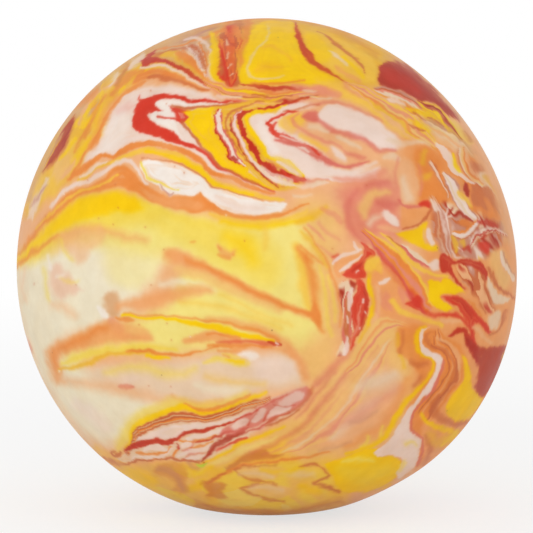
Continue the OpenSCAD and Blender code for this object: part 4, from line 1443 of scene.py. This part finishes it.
@dataclass(frozen=True)
class MarbledRubber:
    """Soft thermoplastic rubber, moulded from folded colours: satin, faintly dusty, with specks moulded in."""

    # To the eye: broad dull highlights that never glint, and colour that lies in the rubber and not on it.
    name: str = "marbled_thermoplastic_rubber_moulded"
    ior: float = 1.5
    cloud_mm: float = 3.5
    veil: tuple[float, float] = (0.955, 1.03)
    satin: tuple[float, float] = (0.44, 0.56)
    specular: float = 0.1
    speck_gap_mm: float = 4.2
    speck_mm: float = 0.17
    speck_depth: float = 0.5
    speck_share: tuple[float, float] = (0.52, 0.6)
    # Real pores are finer than a pixel: these are as coarse as they have to be to show.
    pore_mm: float = 0.6
    pore_depth_mm: float = 0.03
    sheen: float = 0.03
    sheen_roughness: float = 0.45
    speck: str = "#7A4A34"
    dust: str = "#E7D2CC"

    def make(self) -> bpy.types.Material:
        """Builds the material: the skin's own dye, clouded, specked and finely pored.

        Returns:
            The material.
        """
        material, add = new_material(self.name)
        dye = add("Attribute", {}, attribute_name="marbling")
        spot = add("TexCoord", {}).outputs["Object"]
        cloud = add("TexNoise", {"Vector": spot, "Scale": 1 / (self.cloud_mm * MM), "Detail": 4.0})
        veil = add("MapRange", {"Value": cloud.outputs["Fac"], "From Min": 0.3, "From Max": 0.7,
                                "To Min": self.veil[0], "To Max": self.veil[1]})
        clouded = add("Mix", {"Factor": 1.0, 6: dye.outputs["Color"], 7: veil.outputs["Result"]},
                      data_type="RGBA", blend_type="MULTIPLY")
        cells = add("TexVoronoi", {"Vector": spot, "Scale": 1 / (self.speck_gap_mm * MM), "Randomness": 1.0})
        edge = self.speck_mm / self.speck_gap_mm
        dot = add("MapRange", {"Value": cells.outputs["Distance"], "From Min": edge,
                               "From Max": edge * 0.4, "To Min": 0.0, "To Max": self.speck_depth})
        chosen = add("MapRange", {"Value": cells.outputs["Color"], "From Min": self.speck_share[0],
                                  "From Max": self.speck_share[1]})
        speck = add("Math", {0: dot.outputs["Result"], 1: chosen.outputs["Result"]}, operation="MULTIPLY")
        specked = add("Mix", {"Factor": speck.outputs["Value"], 6: clouded.outputs[2],
                              7: rgba(self.speck)}, data_type="RGBA")
        satin = add("MapRange", {"Value": cloud.outputs["Fac"], "From Min": 0.3, "From Max": 0.7,
                                 "To Min": self.satin[0], "To Max": self.satin[1]})
        pores = add("TexNoise", {"Vector": spot, "Scale": 1 / (self.pore_mm * MM), "Detail": 3.0})
        bump = add("Bump", {"Strength": 0.25, "Distance": self.pore_depth_mm * MM,
                            "Height": pores.outputs["Fac"]})
        shader = add("BsdfPrincipled", {
            "Base Color": specked.outputs[2], "Roughness": satin.outputs["Result"], "IOR": self.ior,
            "Specular IOR Level": self.specular, "Sheen Weight": self.sheen, "Sheen Tint": rgba(self.dust),
            "Sheen Roughness": self.sheen_roughness, "Normal": bump.outputs["Normal"]})
        add("OutputMaterial", {"Surface": shader.outputs["BSDF"]})
        return material


@dataclass(frozen=True)
class ClearGel:
    """Oil-soft styrene gel, poured in warm: pale, nearly clear, with a haze and a few trapped bubbles."""

    # To the eye: a honey-pale jelly that light sinks into, with a wet face where it is cut.
    name: str = "styrene_gel_poured"
    ior: float = 1.46
    roughness: float = 0.22
    clear: float = 0.6
    haze_mm: float = 6.0
    bubble_mm: float = 2.5
    deep: str = "#F0CF94"
    pale: str = "#F7E4BE"
    bubble: str = "#FFF6E6"

    def make(self) -> bpy.types.Material:
        """Builds the material: a hazy amber with paler bubbles.

        Returns:
            The material.
        """
        material, add = new_material(self.name)
        spot = add("TexCoord", {}).outputs["Object"]
        haze = add("TexNoise", {"Vector": spot, "Scale": 1 / (self.haze_mm * MM), "Detail": 3.0})
        bubbles = add("TexVoronoi", {"Vector": spot, "Scale": 1 / (self.bubble_mm * MM)})
        ring = add("MapRange", {"Value": bubbles.outputs["Distance"], "From Min": 0.18, "From Max": 0.1,
                                "To Min": 0.0, "To Max": 0.6})
        tint = add("Mix", {"Factor": haze.outputs["Fac"], 6: rgba(self.deep), 7: rgba(self.pale)},
                   data_type="RGBA")
        colour = add("Mix", {"Factor": ring.outputs["Result"], 6: tint.outputs[2], 7: rgba(self.bubble)},
                     data_type="RGBA")
        shader = add("BsdfPrincipled", {"Base Color": colour.outputs[2], "Roughness": self.roughness,
                                        "IOR": self.ior, "Transmission Weight": self.clear})
        add("OutputMaterial", {"Surface": shader.outputs["BSDF"]})
        return material


@dataclass(frozen=True)
class PlugRubber:
    """Firmer rubber of the plug, moulded in one warm colour that isn't quite evenly mixed."""

    # To the eye: a plain orange, faintly streaked, and duller than the skin round it.
    name: str = "plug_rubber_moulded"
    ior: float = 1.52
    roughness: float = 0.5
    swirl_mm: float = 2.4
    # Real grit is finer: this is as coarse as it has to be to show.
    grit_mm: float = 0.25
    grit_depth_mm: float = 0.03

    def make(self) -> bpy.types.Material:
        """Builds the material: a swirl of two oranges with a fine gritty bump.

        Returns:
            The material.
        """
        material, add = new_material(self.name)
        spot = add("TexCoord", {}).outputs["Object"]
        swirl = add("TexNoise", {"Vector": spot, "Scale": 1 / (self.swirl_mm * MM), "Detail": 4.0,
                                 "Distortion": 1.2})
        colour = add("Mix", {"Factor": swirl.outputs["Fac"], 6: rgba(ORANGE.value),
                             7: rgba(SAFFRON.value)}, data_type="RGBA")
        grit = add("TexNoise", {"Vector": spot, "Scale": 1 / (self.grit_mm * MM), "Detail": 2.0})
        bump = add("Bump", {"Strength": 0.3, "Distance": self.grit_depth_mm * MM,
                            "Height": grit.outputs["Fac"]})
        shader = add("BsdfPrincipled", {"Base Color": colour.outputs[2], "Roughness": self.roughness,
                                        "IOR": self.ior, "Normal": bump.outputs["Normal"]})
        add("OutputMaterial", {"Surface": shader.outputs["BSDF"]})
        return material


@dataclass(frozen=True)
class ClearGlue:
    """Cyanoacrylate run round the plug: glassy and pale, with the ripple it froze in as it cured."""

    # To the eye: a thin wet-looking ring that catches the light in a slow ripple.
    name: str = "cyanoacrylate_glue_cured"
    ior: float = 1.45
    roughness: float = 0.12
    clear: float = 0.35
    ripple_mm: float = 1.1
    ripple_depth_mm: float = 0.06
    deep: str = "#E9CF9C"
    pale: str = "#F6E7C8"

    def make(self) -> bpy.types.Material:
        """Builds the material: glossy pale amber over a slow ripple.

        Returns:
            The material.
        """
        material, add = new_material(self.name)
        spot = add("TexCoord", {}).outputs["Object"]
        ripple = add("TexNoise", {"Vector": spot, "Scale": 1 / (self.ripple_mm * MM), "Detail": 1.0})
        colour = add("Mix", {"Factor": ripple.outputs["Fac"], 6: rgba(self.deep), 7: rgba(self.pale)},
                     data_type="RGBA")
        bump = add("Bump", {"Strength": 0.5, "Distance": self.ripple_depth_mm * MM,
                            "Height": ripple.outputs["Fac"]})
        shader = add("BsdfPrincipled", {
            "Base Color": colour.outputs[2], "Roughness": self.roughness, "IOR": self.ior,
            "Transmission Weight": self.clear, "Normal": bump.outputs["Normal"]})
        add("OutputMaterial", {"Surface": shader.outputs["BSDF"]})
        return material


def fit_out(piece: bpy.types.Object, node: str, material: bpy.types.Material) -> None:
    """Puts a finished piece in its CAD node's place.

    Args:
        piece: The piece.
        node: The CAD node that it stands for.
        material: Its material.
    """
    piece.data.materials.clear()
    piece.data.materials.append(material)
    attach(piece, "root")
    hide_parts(node)


@dataclass(frozen=True)
class MarbledSkin:
    """The ball's rubber skin: a settled, slightly lumpy shell with the fill port's boss inside it."""

    form: BallForm
    view: Viewpoint
    cuts: tuple[int, int] = (10, 22)
    lining_cuts: tuple[int, int] = (10, 4)
    back_share: float = 0.5
    limb: tuple[float, float] = (-0.17, -0.05)
    fingers: float = 0.26
    finger_pull: tuple[float, float, float] = (1, 0.4, 1)
    finger_mm: tuple[float, float] = (9, 3.5)

    def crowded(self, ways: np.ndarray) -> np.ndarray:
        """Draws the net's points together on the side that the photograph shows, where the dye is finest.

        Args:
            ways: The net's directions, spread evenly.

        Returns:
            The directions, closer together towards the camera.
        """
        back = self.view.axes()[2]
        facing = np.clip(ways @ back, -1, 1)
        share, spent = self.back_share, facing + 1
        extra = 4 * (1 - share)
        front = (np.sqrt(share ** 2 + 2 * extra * np.maximum(spent - share, 0)) - share) / extra
        moved = np.clip(np.where(spent < share, spent / share - 1, front), -1, 1)
        aside = ways - facing[:, None] * back
        aside /= np.maximum(np.linalg.norm(aside, axis=1, keepdims=True), 1e-9)
        return moved[:, None] * back + np.sqrt(1 - moved ** 2)[:, None] * aside

    def boss_rings(self, grow: float) -> tuple[tuple[float, float], ...]:
        """Gives the rings of the boss round the port.

        Args:
            grow: The gap that it is grown by, in metres.

        Returns:
            The distance out and the radius of each ring.
        """
        form = self.form
        bevel_start = form.radius - form.wall - form.boss_bevel
        wide = form.boss + form.boss_bevel + grow
        return ((form.boss_end - grow, form.boss + grow), (bevel_start, form.boss + grow),
                (bevel_start + form.boss_bevel, wide), (form.boss_root, wide))

    def build(self) -> bpy.types.Object:
        """Builds the shell.

        Returns:
            The skin, with its cavity, boss, hole and seat.
        """
        form = self.form
        skin, ways = ball_net("marbled_skin_shell", self.cuts)
        ways = self.crowded(ways)
        outside = form.reach(ways, 0) + form.lumpy(ways, self.view)
        shape(skin, form.middle() + ways * outside[:, None])
        lining, ways = ball_net("lining", self.lining_cuts)
        inside = form.reach(ways, form.wall) + form.lumpy(ways, self.view)
        shape(lining, form.middle() + ways * inside[:, None])
        carve(lining, turned("boss", self.boss_rings(0)))
        carve(skin, lining)
        clear = form.radius + form.wall
        carve(skin, turned("hole", ((form.boss_end - form.wall, form.bore), (form.seat_floor, form.bore),
                                    (form.seat_floor, form.seat), (clear, form.seat))))
        smooth(skin, form.sharp)
        return skin

    def dye(self, skin: bpy.types.Object) -> None:
        """Dyes the rubber: marbling laid on the photograph's side, and folded dyes round the rest.

        Args:
            skin: The built skin.
        """
        places = places_of(skin)
        middle = self.form.middle()
        stand = self.view.stand(middle, self.form.radius)
        ways = places - middle
        ways /= np.linalg.norm(ways, axis=1, keepdims=True)
        sight = stand - places
        facing = (sight / np.linalg.norm(sight, axis=1, keepdims=True) * ways).sum(1)
        drawn = places / MM * np.array(self.finger_pull)
        long, short = self.finger_mm
        tongues = Grain(TONGUE_SEED + 1).at(drawn, long) + 0.5 * Grain(TONGUE_SEED).at(drawn, short)
        front = ease(facing + self.fingers * tongues, *self.limb)
        colour = Folding().dyed(places / MM)
        shown = np.flatnonzero(front > 0)
        spots = Unevenness().at(self.view.seen(places[shown], stand), places[shown])
        colour[shown] += front[shown, None] * (Laying().dyed(spots) - colour[shown])
        layer = skin.data.color_attributes.new("marbling", "FLOAT_COLOR", "POINT")
        solid = np.hstack([linear(colour), np.ones((len(places), 1))])
        layer.data.foreach_set("color", solid.astype(np.float32).ravel())

    def make(self) -> bpy.types.Object:
        """Builds, dyes and dresses the skin.

        Returns:
            The finished skin.
        """
        skin = self.build()
        self.dye(skin)
        fit_out(skin, "marbled_skin", MarbledRubber().make())
        return skin


@dataclass(frozen=True)
class FillPort:
    """What closes the skin: the gel behind it, the barbed plug, and the glue round the plug's head."""

    form: BallForm
    skin: MarbledSkin
    stem: float = 1.95 * MM
    head: float = 3.55 * MM
    head_base: float = 33.65 * MM
    head_steps: tuple[float, ...] = (0.9, 0.7, 0.45, 0.15)
    barb: float = 3.05 * MM
    barb_end: float = 26.95 * MM
    barb_tip: float = 22.95 * MM
    barb_tip_r: float = 1.1 * MM
    rim: float = 0.12 * MM
    sharp: float = 50.0
    bead_in: float = 3.6 * MM
    bead_out: float = 4.6 * MM
    bead_dip: float = 0.12 * MM
    bead_points: int = 24
    bead_square: float = 1.6
    bead_wide: float = 1.5
    merge: float = 0.002 * MM

    def crown_at(self, radius: float) -> float:
        """Gives how far out the ball's surface is at a radius round the port."""
        return math.sqrt(self.form.radius ** 2 - radius ** 2)

    def gel(self) -> bpy.types.Object:
        """Builds the gel, which fills the skin and closes round the boss and the barb.

        Returns:
            The gel.
        """
        form, fit = self.form, self.form.fit
        gel, ways = ball_net("gel_filling", self.skin.lining_cuts)
        reach = form.reach(ways, form.wall + fit) + form.lumpy(ways, self.skin.view)
        shape(gel, form.middle() + ways * reach[:, None])
        carve(gel, turned("boss", self.skin.boss_rings(fit)))
        carve(gel, turned("barb", ((self.barb_tip - fit, self.barb_tip_r + fit),
                                   (self.barb_end, self.barb + fit), (form.boss_end, self.barb + fit))))
        smooth(gel, form.sharp)
        fit_out(gel, "gel_core", ClearGel().make())
        return gel

    def plug(self) -> bpy.types.Object:
        """Builds the plug: tip, barb, stem, and a head with a rounded rim that follows the ball.

        Returns:
            The plug.
        """
        rim, head, base, crown = self.rim, self.head, self.head_base, self.crown_at(self.head)
        domes = tuple((self.crown_at(head * part) - rim * part, head * part) for part in self.head_steps)
        plug = turned("port_plug_moulded", (
            (self.barb_tip, self.barb_tip_r - rim), (self.barb_tip + rim, self.barb_tip_r),
            (self.barb_end - rim, self.barb), (self.barb_end, self.barb - rim), (self.barb_end, self.stem),
            (base, self.stem), (base, head - rim), (base + rim, head), (crown - 2 * rim, head),
            (crown - rim, head - rim / 2), *domes))
        smooth(plug, self.sharp)
        fit_out(plug, "port_plug", PlugRubber().make())
        return plug

    def bead(self) -> bpy.types.Object:
        """Builds the bead of glue: a small loop, pressed to the seat and spun round the plug's head.

        Returns:
            The bead.
        """
        height = self.form.middle()[2]
        half = (self.bead_out - self.bead_in) / 2
        base = self.form.seat_floor + self.form.fit
        bead = begin("glue_bead_cured", "circle", vertices=self.bead_points, radius=half,
                     location=(self.bead_in + half, base + half, height))
        places = places_of(bead)
        round_in = (places[:, 0] - self.bead_in - half) / half
        top = np.sqrt(self.form.radius ** 2 - places[:, 0] ** 2) - self.bead_dip * (1 - round_in ** 2)
        rise = np.clip((places[:, 1] - base) / (2 * half), 0, 1)
        square = np.clip(rise * self.bead_square - (self.bead_square - 1) / 2, 0, 1)
        places[:, 0] = self.bead_in + half + half * np.clip(round_in * self.bead_wide, -1, 1)
        places[:, 1] = base + square * (top - base)
        shape(bead, places)
        bpy.ops.object.mode_set(mode="EDIT")
        bpy.ops.mesh.select_all(action="SELECT")
        bpy.ops.mesh.spin(steps=SIDES, angle=2 * math.pi, center=(0, 0, height), axis=(0, 1, 0))
        bpy.ops.mesh.select_all(action="SELECT")
        bpy.ops.mesh.remove_doubles(threshold=self.merge)
        bpy.ops.mesh.normals_make_consistent(inside=False)
        bpy.ops.object.mode_set(mode="OBJECT")
        smooth(bead, self.sharp)
        fit_out(bead, "glue_bead", ClearGlue().make())
        return bead


@dataclass(frozen=True)
class Studio:
    """A plain white table under soft light."""

    white: str = "#FAFAFA"
    floor_side: float = 12.0
    sky: float = 0.76
    key_place: tuple[float, float, float] = (-0.25, -1.05, 0.42)
    key_power: float = 3.3
    key_side: float = 0.9
    shadow: float = 0.3
    shadow_near: float = 0.1
    shadow_far: float = 0.35

    def behind(self, add: Callable[..., bpy.types.Node]) -> bpy.types.NodeSocket:
        """Picks the rays that show the background: the camera's, and those that gloss or glass passes on.

        Args:
            add: What adds a node to the floor or the world.

        Returns:
            1 for those rays and 0 for the light that falls on the object.
        """
        rays = add("LightPath", {})
        gloss = add("Math", {0: rays.outputs["Is Camera Ray"], 1: rays.outputs["Is Glossy Ray"]},
                    operation="MAXIMUM")
        shown = add("Math", {0: gloss.outputs["Value"], 1: rays.outputs["Is Transmission Ray"]},
                    operation="MAXIMUM")
        return shown.outputs["Value"]

    def floor(self) -> None:
        """Lays the white floor."""
        floor = begin("floor", "plane", size=self.floor_side)
        # To the eye: plain white paper that keeps only the ball's soft shadow.
        material, add = new_material("white_paper_sweep")
        paper = add("BsdfDiffuse", {"Color": rgba(self.white)})
        glow = add("Emission", {"Color": (1, 1, 1, 1), "Strength": 1.0})
        spot = add("TexCoord", {}).outputs["Object"]
        away = add("VectorMath", {0: spot}, operation="LENGTH")
        fade = add("MapRange", {"Value": away.outputs["Value"], "From Min": self.shadow_near,
                                "From Max": self.shadow_far, "To Min": self.shadow, "To Max": 0.0})
        lit = add("MixShader", {0: fade.outputs["Result"], 1: glow.outputs["Emission"],
                                2: paper.outputs["BSDF"]})
        both = add("MixShader", {0: self.behind(add), 1: paper.outputs["BSDF"], 2: lit.outputs["Shader"]})
        add("OutputMaterial", {"Surface": both.outputs["Shader"]})
        floor.data.materials.append(material)

    def world(self) -> None:
        """Lights the ball evenly from all round, and shows white behind it."""
        world = bpy.data.worlds.new("studio_white")
        bpy.context.scene.world = world
        world.use_nodes = True
        world.node_tree.nodes.clear()
        add = partial(add_node, world.node_tree)
        fill = add("Background", {"Color": (1, 1, 1, 1), "Strength": self.sky})
        white = add("Background", {"Color": (1, 1, 1, 1), "Strength": 1.0})
        both = add("MixShader", {0: self.behind(add), 1: fill.outputs["Background"],
                                 2: white.outputs["Background"]})
        add("OutputWorld", {"Surface": both.outputs["Shader"]})

    def lamp(self, target: np.ndarray) -> None:
        """Hangs the soft box.

        Args:
            target: What it faces.
        """
        bpy.ops.object.select_all(action="DESELECT")
        bpy.ops.object.light_add(type="AREA", location=self.key_place)
        lamp = bpy.context.object
        lamp.name = "soft_box_front"
        lamp.data.shape = "SQUARE"
        lamp.data.size = self.key_side
        lamp.data.energy = self.key_power
        way = np.array(self.key_place) - target
        tilt, turn = math.acos(way[2] / np.linalg.norm(way)), math.atan2(way[1], way[0])
        lamp.rotation_euler = (tilt, 0, turn + math.pi / 2)

    def make(self, target: np.ndarray) -> None:
        """Sets the studio up round the ball.

        Args:
            target: The middle of the ball.
        """
        bpy.context.scene.view_settings.view_transform = "Standard"
        self.floor()
        self.world()
        self.lamp(target)


def main() -> None:
    """Builds the ball, the studio and the camera in order, and reports each piece."""
    logging.basicConfig(level=logging.INFO)
    form, view = BallForm(), Viewpoint()
    skin = MarbledSkin(form, view)
    port = FillPort(form, skin)
    for build in (skin.make, port.gel, port.plug, port.bead):
        piece = build()
        LOG.info("%s: %d faces", piece.name, len(piece.data.polygons))
    Studio().make(form.middle())
    view.make(view.stand(form.middle(), form.radius))


if __name__ == "__main__":
    main()
